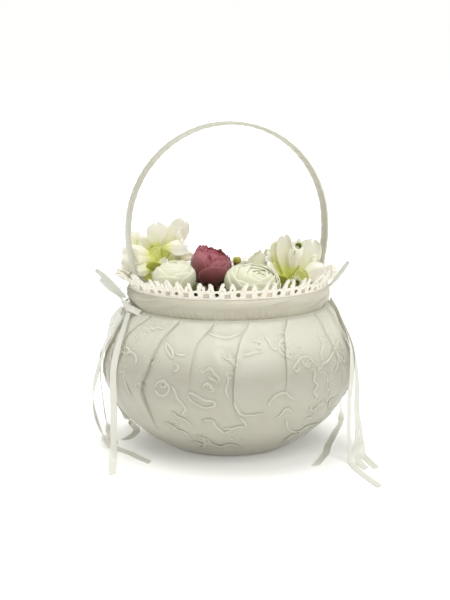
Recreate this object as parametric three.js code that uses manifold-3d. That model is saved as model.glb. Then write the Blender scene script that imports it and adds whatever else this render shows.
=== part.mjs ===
// Flower girl basket: a round satin-covered bowl with a pleated neck, a padded band, a frill of
// beading lace, a ribbon-wrapped hoop handle, two ribbon bows and silk flower picks in a foam block.
// Millimetres, +Z up. The origin is the centre of the face that the basket stands on, and the
// handle stands in the XZ plane.
import * as THREE from 'three';
import { mergeVertices } from 'three/addons/utils/BufferGeometryUtils.js';
import Module from 'manifold-3d';

// ---------------------------------------------------------------- driving dimensions
const GAP = 0.3; // between pieces that touch in the real basket
const SEGMENTS = 28; // round the axis of every piece of the bowl

const BASE = { radius: 48, thickness: 2 };
const COVER_THICKNESS = 1.1;
const WADDING_THICKNESS = 3;
const SHELL_THICKNESS = 2;
const LINING_THICKNESS = 0.8;

// The bowl's outside, from the foot to the shoulder: [radius, height].
const SIDE = [
  [49.6, 0.6], [62.3, 8], [74.7, 18], [87.8, 30], [96.3, 44], [103.1, 60],
  [101.5, 76], [95.7, 90], [90.6, 102], [87.3, 110], [85.4, 113.6],
];
const COLLAR = { radius: 71.5, top: 126 }; // the shell's neck, outside
const SHOULDER = { radius: 74.5, height: 103 }; // where the shell turns up into the collar

// Stations along the side's run, shared by all its layers so that their walls stay parallel.
const SIDE_STATIONS = [0, 0.11, 0.23, 0.35, 0.47, 0.58, 0.69, 0.79];
const TOP_STATIONS = [0.88, 0.95, 1]; // above the wadding, on the cover only

const BAND = { bottom: 115.9, top: 133.2, pocket: 124.4 };
const LACE = { hem: [80.9, 125], fold: [81, 133.6], flare: [83.4, 139.8], brim: [90, 149.5], thickness: 0.9 };

const HOOP = { halfWidth: 85.6, height: 84.7, centre: [0.6, 180] }; // the strap's centre line
const FOOT = { x: 73.4, bottom: 105.2 };
const STRAP = { width: 9, thickness: 1.2 };
const WRAP = { width: 11.6, thickness: 2.6 };
const RIVET = { height: 112.5, radius: 1.5, headRadius: 3, headThickness: 0.7 };

const FOAM = { radius: 60, footRadius: 42, bottom: 5.9, top: 98 };
const STEM = { radius: 1.5, bottom: 62 };
const STEM_FOCUS = 60; // the stems fan out from a point this far below the base
const CALYX_HEIGHT = 6;

const RIBBON = { width: 6, thickness: 0.6 };
const KNOT = { x: 86.2, z: 120.5, radii: [2.4, 5.5, 4.6] };

// ---------------------------------------------------------------- materials
const paint = (color, roughness) => new THREE.MeshStandardMaterial({ color, roughness, metalness: 0 });
const SATIN = paint(0xe4e2d4, 0.42);
const LINING = paint(0xe9e2d6, 0.5);
const WADDING = paint(0xf2f1ec, 0.95);
const SHELL = paint(0xe8e6df, 0.45);
const CARD = paint(0xdcdacc, 0.8);
const LACE_THREAD = paint(0xe8e0d2, 0.75);
const STRAP_PLASTIC = paint(0xd9d8d2, 0.4);
const WRAP_SATIN = paint(0xdcdccd, 0.35);
const RIBBON_SATIN = paint(0xdcdcd2, 0.3);
const RIVET_METAL = new THREE.MeshStandardMaterial({ color: 0xb9b4a4, roughness: 0.35, metalness: 1 });
const FOAM_GREEN = paint(0x8f9a6a, 0.95);
const BURGUNDY = paint(0x8a3f45, 0.7);
const PALE_GREEN = paint(0xdcdcb4, 0.7);
const WHITE_PETAL = paint(0xe2e0c8, 0.7);
const LIME = paint(0xb7bf4a, 0.7);
const STEM_GREEN = paint(0x6f7f3e, 0.65);

// ---------------------------------------------------------------- helpers
const basket = new THREE.Group();

const wasm = await Module();
wasm.setup();

function node(name, geometry, material, parent = basket) {
  const mesh = new THREE.Mesh(geometry, material);
  mesh.name = name;
  parent.add(mesh);
  return mesh;
}

// A closed profile of [radius, height] points turned round the Z axis.
function turned(outline) {
  const points = outline.map(([r, z]) => new THREE.Vector2(r, z));
  if (THREE.ShapeUtils.area(points) < 0) points.reverse();
  const onAxis = points.filter((p) => p.x === 0).length > 0;
  if (onAxis) while (points[0].x !== 0 || points.at(-1).x !== 0) points.push(points.shift());
  else points.push(points[0].clone());
  return new THREE.LatheGeometry(points, SEGMENTS).rotateX(Math.PI / 2);
}

// A geometry as a manifold-3d solid, and back.
function solid(geometry) {
  const bare = geometry.clone();
  bare.deleteAttribute('normal');
  bare.deleteAttribute('uv');
  const welded = mergeVertices(bare, 1e-3);
  const index = welded.index.array;
  const triVerts = [];
  for (let i = 0; i < index.length; i += 3) {
    const [a, b, c] = index.slice(i, i + 3);
    if (a !== b && b !== c && c !== a) triVerts.push(a, b, c);
  }
  return new wasm.Manifold(
    new wasm.Mesh({
      numProp: 3,
      vertProperties: welded.attributes.position.array,
      triVerts: new Uint32Array(triVerts),
    }),
  );
}

function geometryOf(manifold) {
  const { vertProperties, triVerts } = manifold.getMesh();
  const geometry = new THREE.BufferGeometry();
  geometry.setAttribute('position', new THREE.BufferAttribute(new Float32Array(vertProperties), 3));
  geometry.setIndex(new THREE.BufferAttribute(new Uint32Array(triVerts), 1));
  geometry.computeVertexNormals();
  return geometry;
}

function cut(geometry, tools) {
  return geometryOf(tools.reduce((rest, tool) => rest.subtract(solid(tool)), solid(geometry)));
}

// ---------------------------------------------------------------- bowl
const sideCurve = new THREE.SplineCurve(SIDE.map(([r, z]) => new THREE.Vector2(r, z)));

// Points on a surface that lies `depth` inside the bowl's outside.
function layer(depth, stations = SIDE_STATIONS) {
  return stations.map((t) => {
    const p = sideCurve.getPointAt(t);
    const along = sideCurve.getTangentAt(t);
    return [p.x - along.y * depth, p.y + along.x * depth];
  });
}

const waddingDepth = COVER_THICKNESS + GAP;
const shellDepth = waddingDepth + WADDING_THICKNESS + GAP;
const liningDepth = shellDepth + SHELL_THICKNESS + GAP;

// Clearance for a foot of the handle, at x > 0 or x < 0, with room for the leg's lean.
function footPocket(side) {
  const lean = 1.2;
  const size = { x: WRAP.thickness + 2 * GAP + lean, y: WRAP.width + 2 * GAP, z: 24 };
  return new THREE.BoxGeometry(size.x, size.y, size.z).translate(
    side * (FOOT.x + lean / 2), 0, FOOT.bottom - GAP + size.z / 2,
  );
}
const footPockets = [footPocket(-1), footPocket(1)];

function rivetHole(side) {
  return new THREE.CylinderGeometry(RIVET.radius + GAP, RIVET.radius + GAP, 14, 12)
    .rotateZ(Math.PI / 2)
    .translate(side * FOOT.x, 0, RIVET.height);
}
const rivetHoles = [rivetHole(-1), rivetHole(1)];

function makeBaseDisc() {
  return turned([[0, 0], [BASE.radius, 0], [BASE.radius, BASE.thickness], [0, BASE.thickness]]);
}

// The cover runs up the outside and turns in under the band, with slots for the handle's feet.
function makeCover() {
  const outside = layer(0, [...SIDE_STATIONS, ...TOP_STATIONS]);
  const inside = layer(COVER_THICKNESS, [...SIDE_STATIONS, ...TOP_STATIONS.slice(0, -1)]).reverse();
  const flange = [[84.2, 115], [82, 115.5], [73.8, 115.5], [73.8, 114.4], [81.8, 114.4], [83.8, 113.4]];
  return cut(turned([...outside, ...flange, ...inside]), footPockets);
}

function makeWadding() {
  return turned([...layer(waddingDepth), ...layer(waddingDepth + WADDING_THICKNESS).reverse()]);
}

// The shoulder and collar shared by the shell and the lining, `inset` inside the shell's outside.
function neck(inset, top) {
  return [
    [87.2 - 0.8 * inset, 98.4 - 0.6 * inset],
    [SHOULDER.radius + 5.5 - 0.5 * inset, SHOULDER.height - 0.9 - 0.9 * inset],
    [SHOULDER.radius - 0.3 * inset, SHOULDER.height - inset],
    [COLLAR.radius - inset, SHOULDER.height + 1.6 - 0.5 * inset],
    [COLLAR.radius - inset, top],
  ];
}

function makeShell() {
  const inner = shellDepth + SHELL_THICKNESS;
  const outline = [
    [0, 2.4], [44, 2.4],
    ...layer(shellDepth), ...neck(0, COLLAR.top),
    ...neck(SHELL_THICKNESS, COLLAR.top).reverse(), ...layer(inner).reverse(),
    [43.4, 4.4], [0, 4.4],
  ];
  return cut(turned(outline), rivetHoles);
}

// The lining follows the shell and folds over the top of the collar.
function makeLining() {
  const rivetRoom = 1.5;
  const outerInset = SHELL_THICKNESS + GAP + rivetRoom;
  const innerInset = outerInset + LINING_THICKNESS;
  const lip = COLLAR.top + GAP;
  const outline = [
    [0, 4.7], [43.2, 4.7],
    ...layer(liningDepth), ...neck(outerInset, lip),
    [COLLAR.radius + 0.1, lip], [COLLAR.radius + 0.1, lip + LINING_THICKNESS],
    ...neck(innerInset, lip + LINING_THICKNESS).reverse(),
    ...layer(liningDepth + LINING_THICKNESS).reverse(),
    [42.8, 4.7 + LINING_THICKNESS], [0, 4.7 + LINING_THICKNESS],
  ];
  return turned(outline);
}

// The band is a padded roll: thin where it grips the neck, full above, with a pocket for the lace.
function makeBand() {
  const outside = [
    [76.6, BAND.bottom], [79.6, 116.6], [82.2, 119.8], [84, 124.6], [84.6, 129],
    [84, 132.2], [82.9, BAND.top],
  ];
  const inside = [[81.6, 132.4], [81.6, BAND.pocket], [78, 123.2], [74, 119.4], [74, BAND.bottom + 0.2]];
  return cut(turned([...outside, ...inside]), footPockets);
}

// The lace stands straight inside the band and flares out above it.
function makeLace() {
  const outside = [LACE.hem, LACE.fold, LACE.flare, LACE.brim];
  const inside = outside.map(([r, z]) => [r - LACE.thickness, z + 0.2]).reverse();
  return turned([...outside, ...inside]);
}

// ---------------------------------------------------------------- handle
// The legs stand straight in the neck, lean out, the right one more, and run into half an ellipse.
function hoopCurve() {
  const foot = [[FOOT.x, FOOT.bottom], [FOOT.x, 112], [FOOT.x, 118]];
  const leftLeg = [...foot, [74, 128], [78, 140], [81.8, 154], [84.2, 167]];
  const rightLeg = [...foot, [75, 127], [79.6, 139], [83.4, 150], [85.8, 165]];
  const left = leftLeg.map(([x, z]) => new THREE.Vector3(-x, 0, z));
  const right = rightLeg.map(([x, z]) => new THREE.Vector3(x, 0, z)).reverse();
  const [centreX, centreZ] = HOOP.centre;
  const arch = [];
  for (let degrees = 180; degrees >= 0; degrees -= 12) {
    const a = THREE.MathUtils.degToRad(degrees);
    arch.push(new THREE.Vector3(centreX + HOOP.halfWidth * Math.cos(a), 0, centreZ + HOOP.height * Math.sin(a)));
  }
  return new THREE.CatmullRomCurve3([...left, ...arch, ...right]);
}

function rectangle(width, thickness, Kind = THREE.Shape) {
  const [w, t] = [width / 2, thickness / 2];
  return new Kind([[-w, -t], [w, -t], [w, t], [-w, t]].map(([x, y]) => new THREE.Vector2(x, y)));
}

function makeStrap(shape) {
  const geometry = new THREE.ExtrudeGeometry(shape, { steps: 34, extrudePath: hoopCurve() });
  return cut(geometry, rivetHoles);
}

function makeWrap() {
  const shape = rectangle(WRAP.width, WRAP.thickness);
  shape.holes.push(rectangle(STRAP.width + 2 * GAP, STRAP.thickness + 2 * GAP, THREE.Path));
  return makeStrap(shape);
}

// A rivet through a foot and the collar: a shank with a flat head at each end.
function makeRivet() {
  const inner = COLLAR.radius - SHELL_THICKNESS - 2 * GAP;
  const outer = FOOT.x + WRAP.thickness / 2 + GAP;
  const { radius, headRadius, headThickness } = RIVET;
  const outline = [
    [0, inner - headThickness], [headRadius, inner - headThickness], [headRadius, inner],
    [radius, inner], [radius, outer], [headRadius, outer],
    [headRadius, outer + headThickness], [0, outer + headThickness],
  ];
  const points = outline.map(([r, x]) => new THREE.Vector2(r, x));
  return new THREE.LatheGeometry(points, 12).rotateZ(-Math.PI / 2);
}

// ---------------------------------------------------------------- ribbon bows
function makeKnot() {
  return new THREE.SphereGeometry(1, 10, 7).scale(...KNOT.radii);
}

// A loop of ribbon: a leaf-shaped outline of ribbon thickness, as wide as the ribbon.
function makeLoop(length) {
  const leaf = (start, end, half, Kind) => {
    const outline = new Kind();
    outline.moveTo(start, 0);
    outline.bezierCurveTo(start + 0.3 * length, -half, end, -1.3 * half, end, 0);
    outline.bezierCurveTo(end, 1.3 * half, start + 0.3 * length, half, start, 0);
    return outline;
  };
  const shape = leaf(0, length, 3.4, THREE.Shape);
  shape.holes.push(leaf(4, length - RIBBON.thickness, 2.5, THREE.Path));
  return new THREE.ExtrudeGeometry(shape, { depth: RIBBON.width, bevelEnabled: false, curveSegments: 6 })
    .translate(0, 0, -RIBBON.width / 2);
}

// Sets a loop along the line from `start` to `tip`; `across` is the way the ribbon's width lies.
function addLoop(name, start, tip, across) {
  const from = new THREE.Vector3(...start);
  const along = new THREE.Vector3(...tip).sub(from);
  const loop = node(name, makeLoop(along.length()), RIBBON_SATIN);
  const x = along.normalize();
  const y = new THREE.Vector3(...across).cross(x).normalize();
  loop.quaternion.setFromRotationMatrix(new THREE.Matrix4().makeBasis(x, y, x.clone().cross(y)));
  loop.position.copy(from);
}

// A ribbon tail: a flat strip with rounded edges along its route.
function makeTail(route) {
  const curve = new THREE.CatmullRomCurve3(route.map((p) => new THREE.Vector3(...p)), false, 'centripetal');
  const [w, t] = [RIBBON.width / 2, RIBBON.thickness / 2];
  const corner = t * 0.8;
  const section = new THREE.Shape([
    [-w + corner, -t], [w - corner, -t], [w, -t + corner], [w, t - corner],
    [w - corner, t], [-w + corner, t], [-w, t - corner], [-w, -t + corner],
  ].map(([x, y]) => new THREE.Vector2(x, y)));
  const steps = Math.ceil(curve.getLength() / (2.5 * RIBBON.width));
  return new THREE.ExtrudeGeometry(section, { steps, extrudePath: curve });
}

// Each tail hangs from its knot over the bowl's side and lies on the ground at its end.
const TAILS = {
  left_tail_1: [
    [-90.6, -4, 113.4], [-94.6, 4.5, 107], [-100, 8.7, 98], [-104.1, 12.3, 86], [-106.4, 15.2, 72],
    [-108.5, 18.1, 58], [-109.9, 19.8, 44], [-108.6, 20.4, 31], [-106.2, 19.5, 19], [-102.7, 16.1, 9],
    [-98.8, 9.3, 4.2], [-94, -0.9, 3.4], [-89.3, -14.3, 3.4], [-84.9, -28.7, 3.4], [-80.8, -40.8, 3.4],
  ],
  left_tail_2: [
    [-90.6, 4, 113.4], [-93.8, 16.9, 105], [-96.4, 27.3, 96], [-97.4, 37.3, 85], [-97, 45.6, 73],
    [-96.3, 51.6, 60], [-95, 56, 47], [-93.4, 57.6, 34], [-92.1, 56.9, 22], [-90.9, 54.4, 12],
    [-90.1, 47.7, 5.5], [-90.7, 37.3, 3.4], [-92.3, 27.2, 3.4], [-93.5, 18.1, 3.4],
  ],
  left_tail_3: [
    [-87.6, -9.4, 115.6], [-95.3, -8.9, 106], [-99.9, -14.8, 97], [-103.2, -20.1, 87], [-105.6, -23.5, 73],
    [-107, -26.2, 57], [-107.2, -27.1, 41], [-107.3, -28.1, 27], [-107.7, -30, 15], [-109.5, -34.7, 6.5],
    [-112.5, -43.1, 3.5], [-114.7, -51.9, 3.4], [-117.2, -61.7, 3.4],
  ],
  left_tail_4: [
    [-87.6, 9.4, 115.6], [-90, 28, 106.5], [-90, 38.8, 99], [-89.2, 50.4, 90], [-88.2, 60.4, 79],
    [-86.6, 67, 66], [-84, 71.4, 52], [-81.2, 73.6, 38], [-76.4, 74, 25], [-70.5, 72.5, 13],
    [-65.2, 69.5, 5.5], [-62.9, 61.2, 3.4], [-66.5, 49.7, 3.4], [-73.3, 38.4, 3.4], [-81.5, 27.5, 3.4],
  ],
  right_tail_1: [
    [90.6, -4, 113.4], [92.4, -15.4, 107.5], [94.6, -27, 99], [94.6, -39.8, 88], [92.2, -52, 77],
    [89, -61.6, 65], [86.6, -68.4, 52], [85, -72, 38], [84.2, -74, 25], [83, -76.4, 13],
    [80.4, -82, 5], [76.6, -92.1, 3.4], [74.4, -103.6, 3.4], [73.2, -114.8, 3.4],
  ],
  right_tail_2: [
    [87.6, -9.4, 115.6], [88.6, -19, 109.6], [88.4, -31, 103.6], [87.4, -44, 96.4], [84.8, -57.4, 87],
    [80, -70.6, 76], [75.6, -78.6, 64], [72.2, -83.6, 50], [70.6, -86.2, 36], [70.4, -87.9, 22],
    [69.6, -91.4, 10], [68, -99.5, 4], [65.4, -113.5, 3.4], [63.6, -128.9, 3.4], [62.6, -145.7, 3.4],
    [63.2, -158.7, 3.4],
  ],
  right_tail_3: [
    [87.6, 9.4, 115.6], [97.6, 5.9, 107], [104.1, 11.1, 97], [108.5, 15.9, 84], [109.8, 19.6, 70],
    [111, 21.3, 56], [111.9, 21, 42], [112.5, 19.7, 28], [112.3, 17.7, 15], [109.8, 12.2, 5.5],
    [102.5, 1, 3.4], [91.7, -14.2, 3.4], [81.8, -29.8, 3.4], [71.2, -47.2, 3.4], [60.6, -64.6, 3.4],
    [49.7, -79.8, 3.4], [39.2, -94.1, 3.4],
  ],
  right_tail_4: [
    [90.6, 4, 113.4], [97, -7.6, 106], [101.6, -16.4, 96.6], [103.6, -26, 84], [102.6, -36.8, 70],
    [100.2, -46.2, 56], [97, -53.7, 43], [94.4, -59.3, 30], [92.2, -64.2, 18], [89.6, -69.8, 8.4],
    [87.2, -78.3, 3.7], [85, -89.9, 3.4], [83, -102.8, 3.4], [81, -115.7, 3.4],
  ],
};

// ---------------------------------------------------------------- flowers
// centre and radii of each head, in the basket's frame and the flower's own
const FLOWERS = [
  { name: 'burgundy_ranunculus', centre: [-14.9, 0, 149.5], radii: [17.2, 17.2, 17.5], color: BURGUNDY },
  { name: 'left_ranunculus', centre: [-54.6, -24.8, 144.6], radii: [17.6, 17.6, 15], color: PALE_GREEN },
  { name: 'right_ranunculus', centre: [5.4, -42.4, 141], radii: [23.5, 21, 16], color: PALE_GREEN },
  { name: 'left_hydrangea', centre: [-55.5, 25.5, 165], radii: [25, 23.5, 21], color: WHITE_PETAL },
  { name: 'right_hydrangea', centre: [50.6, -12.6, 149.5], radii: [23.5, 20.5, 18], color: WHITE_PETAL },
  { name: 'back_ranunculus_left', centre: [-20.5, 43, 128.5], radii: [14.5, 14.5, 12.5], color: PALE_GREEN },
  { name: 'back_ranunculus_right', centre: [12.5, 46, 128.5], radii: [16.5, 16.5, 14], color: BURGUNDY },
  { name: 'back_hydrangea', centre: [40, 28, 132], radii: [15.5, 15.5, 13], color: WHITE_PETAL },
  { name: 'bud_pick', centre: [12, 11.6, 149.5], radii: [3.4, 3.4, 5], color: LIME },
];

// A group at the flower's head with its own +Z along the stem.
function flowerGroup({ centre }) {
  const group = new THREE.Group();
  group.position.set(...centre);
  const axis = new THREE.Vector3(centre[0], centre[1], centre[2] + STEM_FOCUS).normalize();
  group.quaternion.setFromUnitVectors(new THREE.Vector3(0, 0, 1), axis);
  group.updateMatrixWorld();
  return group;
}

function stemSpan({ centre, radii }) {
  const top = -radii[2] - CALYX_HEIGHT - 2 * GAP;
  const slant = Math.hypot(centre[0], centre[1], centre[2] + STEM_FOCUS) / (centre[2] + STEM_FOCUS);
  return { top, bottom: -(centre[2] - STEM.bottom) * slant };
}

function rod(radius, bottom, top) {
  return new THREE.CylinderGeometry(radius, radius, top - bottom, 8)
    .rotateX(Math.PI / 2)
    .translate(0, 0, (top + bottom) / 2);
}

function addFlower(flower) {
  const group = flowerGroup(flower);
  basket.add(group);
  const depth = flower.radii[2];
  const head = new THREE.SphereGeometry(1, 12, 8).rotateX(Math.PI / 2).scale(...flower.radii);
  node(`${flower.name}_head`, head, flower.color, group);
  const calyx = new THREE.CylinderGeometry(Math.min(5, 0.5 * flower.radii[0]), 2, CALYX_HEIGHT, 8)
    .rotateX(Math.PI / 2)
    .translate(0, 0, -depth - GAP - CALYX_HEIGHT / 2);
  node(`${flower.name}_calyx`, calyx, STEM_GREEN, group);
  const { top, bottom } = stemSpan(flower);
  node(`${flower.name}_stem`, rod(STEM.radius, bottom, top), STEM_GREEN, group);
}

// Small hollow bell florets beside the right hydrangea's head.
const BELLS = [
  { name: 'bell_floret_upper', centre: [46.6, -37, 167], axis: [-0.2, -0.9, 0.4] },
  { name: 'bell_floret_lower', centre: [44.6, -38.6, 137], axis: [-0.2, -0.95, 0.25] },
];

function addBell({ name, centre, axis }) {
  const bell = node(name, new THREE.CylinderGeometry(5, 1.6, 9, 10).rotateX(Math.PI / 2), LIME);
  bell.position.set(...centre);
  bell.quaternion.setFromUnitVectors(new THREE.Vector3(0, 0, 1), new THREE.Vector3(...axis).normalize());
}

// Dry floral foam with a hole for each stem, a little deeper than the stem.
function makeFoam() {
  const { radius, footRadius, bottom, top } = FOAM;
  const block = turned([
    [0, bottom], [footRadius, bottom], [radius, 22], [radius, top - 5], [radius - 5, top], [0, top],
  ]);
  const holes = FLOWERS.map((flower) => {
    const span = stemSpan(flower);
    return rod(STEM.radius + GAP, span.bottom - 2, span.top).applyMatrix4(flowerGroup(flower).matrixWorld);
  });
  return cut(block, holes);
}

// ---------------------------------------------------------------- assembly
node('base_disc', makeBaseDisc(), CARD);
node('bowl_shell', makeShell(), SHELL);
node('wadding', makeWadding(), WADDING);
node('cover', makeCover(), SATIN);
node('lining', makeLining(), LINING);
node('neck_band', makeBand(), SATIN);
node('lace_trim', makeLace(), LACE_THREAD);
node('handle_core', makeStrap(rectangle(STRAP.width, STRAP.thickness)), STRAP_PLASTIC);
node('handle_wrap', makeWrap(), WRAP_SATIN);
node('handle_rivet_left', makeRivet().rotateZ(Math.PI), RIVET_METAL).position.z = RIVET.height;
node('handle_rivet_right', makeRivet(), RIVET_METAL).position.z = RIVET.height;

node('left_bow_knot', makeKnot(), RIBBON_SATIN).position.set(-KNOT.x, 0, KNOT.z);
node('right_bow_knot', makeKnot(), RIBBON_SATIN).position.set(KNOT.x, 0, KNOT.z);
addLoop('left_bow_loop_front', [-89.4, -3.8, 127.4], [-113, -6.5, 152], [0.7, 0, 0.7]);
addLoop('left_bow_loop_back', [-89.4, 4.6, 126.6], [-106, 10, 141], [0.7, 0, 0.7]);
addLoop('right_bow_loop_front', [89.4, -4.2, 127.4], [105.4, -8, 147], [0.34, 0.94, 0]);
addLoop('right_bow_loop_back', [89.4, 5.6, 127], [93.5, 27, 143], [0.34, -0.3, 0.7]);
for (const [name, route] of Object.entries(TAILS)) node(name, makeTail(route), RIBBON_SATIN);

node('foam_block', makeFoam(), FOAM_GREEN);
FLOWERS.forEach(addFlower);
BELLS.forEach(addBell);

export default basket;
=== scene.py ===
import math
from collections import namedtuple

import bpy
import numpy as np
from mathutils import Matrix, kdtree


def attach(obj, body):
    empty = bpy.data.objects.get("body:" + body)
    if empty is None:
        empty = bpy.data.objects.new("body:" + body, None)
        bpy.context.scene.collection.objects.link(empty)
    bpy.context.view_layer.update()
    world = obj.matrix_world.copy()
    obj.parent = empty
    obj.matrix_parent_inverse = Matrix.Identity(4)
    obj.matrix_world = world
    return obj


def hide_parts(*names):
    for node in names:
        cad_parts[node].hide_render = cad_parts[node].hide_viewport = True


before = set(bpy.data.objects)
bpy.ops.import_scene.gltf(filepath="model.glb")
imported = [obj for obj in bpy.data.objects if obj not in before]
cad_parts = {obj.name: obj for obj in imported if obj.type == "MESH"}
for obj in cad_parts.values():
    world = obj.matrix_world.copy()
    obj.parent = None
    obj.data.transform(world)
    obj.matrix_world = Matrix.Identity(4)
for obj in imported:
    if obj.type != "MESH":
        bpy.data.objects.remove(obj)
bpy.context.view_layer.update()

MM = 0.001
TAU = 2 * math.pi


# ---------------------------------------------------------------- camera
SENSOR_WIDTH = 36
FOCAL_LENGTH = 81.1
CAMERA_PLACE = (-0.3762, -1.0337, 0.31384)
CAMERA_TILT = 79.982
CAMERA_BEARING = -19.86


def make_camera():
    data = bpy.data.cameras.new("camera")
    data.sensor_width = SENSOR_WIDTH
    data.lens = FOCAL_LENGTH
    data.clip_start = 0.01
    data.clip_end = 20
    camera = bpy.data.objects.new("camera", data)
    camera.location = CAMERA_PLACE
    camera.rotation_euler = (math.radians(CAMERA_TILT), 0, math.radians(CAMERA_BEARING))
    bpy.context.scene.collection.objects.link(camera)
    bpy.context.scene.camera = camera


make_camera()


# ---------------------------------------------------------------- numbers
def unit(v):
    return v / np.maximum(np.linalg.norm(v, axis=-1, keepdims=True), 1e-12)


def smooth(x, low=0.0, high=1.0):
    t = np.clip((np.asarray(x, float) - low) / (high - low), 0, 1)
    return t * t * (3 - 2 * t)


def catmull(route, step):
    """Points every `step` along a centripetal Catmull-Rom curve through the route."""
    p = np.array(route, float)
    p = np.vstack([2 * p[0] - p[1], p, 2 * p[-1] - p[-2]])
    dt = np.linalg.norm(np.diff(p, axis=0), axis=1) ** 0.5
    parts = []
    for i in range(1, len(p) - 2):
        d0, d1, d2 = dt[i - 1], dt[i], dt[i + 1]
        m1 = ((p[i] - p[i - 1]) / d0 - (p[i + 1] - p[i - 1]) / (d0 + d1) + (p[i + 1] - p[i]) / d1) * d1
        m2 = ((p[i + 1] - p[i]) / d1 - (p[i + 2] - p[i]) / (d1 + d2) + (p[i + 2] - p[i + 1]) / d2) * d1
        t = np.linspace(0, 1, 24, endpoint=i == len(p) - 3)[:, None]
        c2 = 3 * (p[i + 1] - p[i]) - 2 * m1 - m2
        c3 = 2 * (p[i] - p[i + 1]) + m1 + m2
        parts.append(p[i] + m1 * t + c2 * t**2 + c3 * t**3)
    return resample(np.vstack(parts), step)


def resample(line, step):
    run = arc_lengths(line)
    count = max(2, int(round(run[-1] / step)) + 1)
    at = np.linspace(0, run[-1], count)
    return np.stack([np.interp(at, run, line[:, k]) for k in range(line.shape[1])], axis=1)


def smoothed(values, kernel):
    """Values averaged over a kernel of odd length, with the ends held."""
    return np.convolve(np.pad(values, len(kernel) // 2, mode="edge"), kernel, mode="valid")


def tangents(line):
    return unit(np.gradient(line, axis=0))


def turn(v, axis, angle):
    """v turned about unit axes by angles in radians, row by row."""
    c, s = np.cos(angle)[..., None], np.sin(angle)[..., None]
    return v * c + np.cross(axis, v) * s + axis * np.sum(axis * v, axis=-1, keepdims=True) * (1 - c)


def circle(count):
    """Even angles round a full turn."""
    return np.arange(count) * TAU / count


def level(r, theta, z):
    """Points at radii, angles in radians and heights."""
    return np.stack([r * np.cos(theta), r * np.sin(theta), z + 0 * theta], axis=-1)


def arc_lengths(line):
    """The distance along a line at each of its points."""
    return np.concatenate([[0], np.cumsum(np.linalg.norm(np.diff(line, axis=0), axis=1))])


def profile_line(profile, step):
    """Points every `step` along a smooth profile of (radius, height)."""
    return catmull([(r, 0, z) for r, z in profile], step)[:, [0, 2]]


def ripple(seed, count, low, high):
    """A smooth periodic random function of an angle: whole waves from low to high in number."""
    rng = np.random.default_rng(seed)
    waves = rng.integers(low, high + 1, count)
    phase = rng.uniform(0, TAU, count)
    size = rng.uniform(0.4, 1, count)
    size /= size.sum()
    return lambda a: sum(s * np.sin(w * a + p) for s, w, p in zip(size, waves, phase))


# ---------------------------------------------------------------- meshes
def build(name, points, faces, material, slot, body="basket", replaces=(), uv=None, tint=None):
    """A smooth mesh from points in millimetres and arrays of faces; uv is per corner."""
    faces = [faces] if isinstance(faces, np.ndarray) else faces
    loops = np.concatenate([f.ravel() for f in faces])
    sizes = np.concatenate([np.full(len(f), f.shape[1]) for f in faces])
    mesh = bpy.data.meshes.new(name)
    mesh.vertices.add(len(points))
    mesh.vertices.foreach_set("co", (np.asarray(points) * MM).astype(np.float32).ravel())
    mesh.loops.add(len(loops))
    mesh.loops.foreach_set("vertex_index", loops.astype(np.int32))
    mesh.polygons.add(len(sizes))
    starts = np.concatenate([[0], np.cumsum(sizes)[:-1]])
    mesh.polygons.foreach_set("loop_start", starts.astype(np.int32))
    mesh.update(calc_edges=True)
    mesh.polygons.foreach_set("use_smooth", np.ones(len(sizes), bool))
    if uv is not None:
        layer = mesh.uv_layers.new(name="cloth")
        layer.data.foreach_set("uv", np.asarray(uv, np.float32).ravel())
    if tint is not None:
        attribute = mesh.attributes.new("tint", "FLOAT", "POINT")
        attribute.data.foreach_set("value", np.asarray(tint, np.float32).ravel())
    mesh.materials.append(material)
    mesh.validate()
    obj = bpy.data.objects.new(name, mesh)
    bpy.context.scene.collection.objects.link(obj)
    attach(obj, body)
    if replaces:
        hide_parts(*replaces)
    return obj


def grid(rows, columns, wrap_rows=False, wrap_columns=False):
    """Quads of a grid of points, and each corner's (column, row)."""
    r = np.arange(rows if wrap_rows else rows - 1)
    c = np.arange(columns if wrap_columns else columns - 1)
    rr, cc = [a.ravel() for a in np.meshgrid(r, c, indexing="ij")]
    corner = [(rr, cc), (rr, cc + 1), (rr + 1, cc + 1), (rr + 1, cc)]
    quads = np.stack([(a % rows) * columns + b % columns for a, b in corner], axis=1)
    spots = np.stack([np.stack([b, a], axis=1) for a, b in corner], axis=1)
    return quads, spots.reshape(-1, 2).astype(float)


def tubes(rings_list, closed=False):
    """Points and faces of tubes, each an array of rings of points; open ones get end caps."""
    points, quads, caps, at = [], [], [], 0
    for rings in rings_list:
        n, k = rings.shape[:2]
        faces, _ = grid(n, k, wrap_rows=closed, wrap_columns=True)
        points.append(rings.reshape(-1, 3))
        quads.append(faces + at)
        if not closed:
            caps.append((np.arange(k)[::-1] + at)[None])
            caps.append((np.arange(k) + at + (n - 1) * k)[None])
        at += n * k
    return np.vstack(points), [np.vstack(quads)] + caps


def square_to(v, along):
    """v made square to unit directions, row by row."""
    return unit(v - np.sum(v * along, axis=-1, keepdims=True) * along)


def sweep(line, normal, section):
    """Rings of a section of (across, up) points along a line with its up directions."""
    along = tangents(line)
    up = square_to(normal, along)
    across = np.cross(along, up)
    section = np.asarray(section, float)
    if section.ndim == 2:
        section = np.broadcast_to(section, (len(line), *section.shape))
    return line[:, None] + across[:, None] * section[..., :1] + up[:, None] * section[..., 1:]


def sweep_closed(line, normal, section):
    """Rings of a section of (across, up) points along a line that closes on itself."""
    along = unit(np.roll(line, -1, axis=0) - np.roll(line, 1, axis=0))
    across = unit(np.cross(along, normal))
    up = np.cross(across, along)
    return line[:, None] + across[:, None] * section[None, :, :1] + up[:, None] * section[None, :, 1:]


def round_section(radius, sides=6):
    a = circle(sides)
    return np.stack([np.cos(a), np.sin(a)], axis=1) * radius


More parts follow.
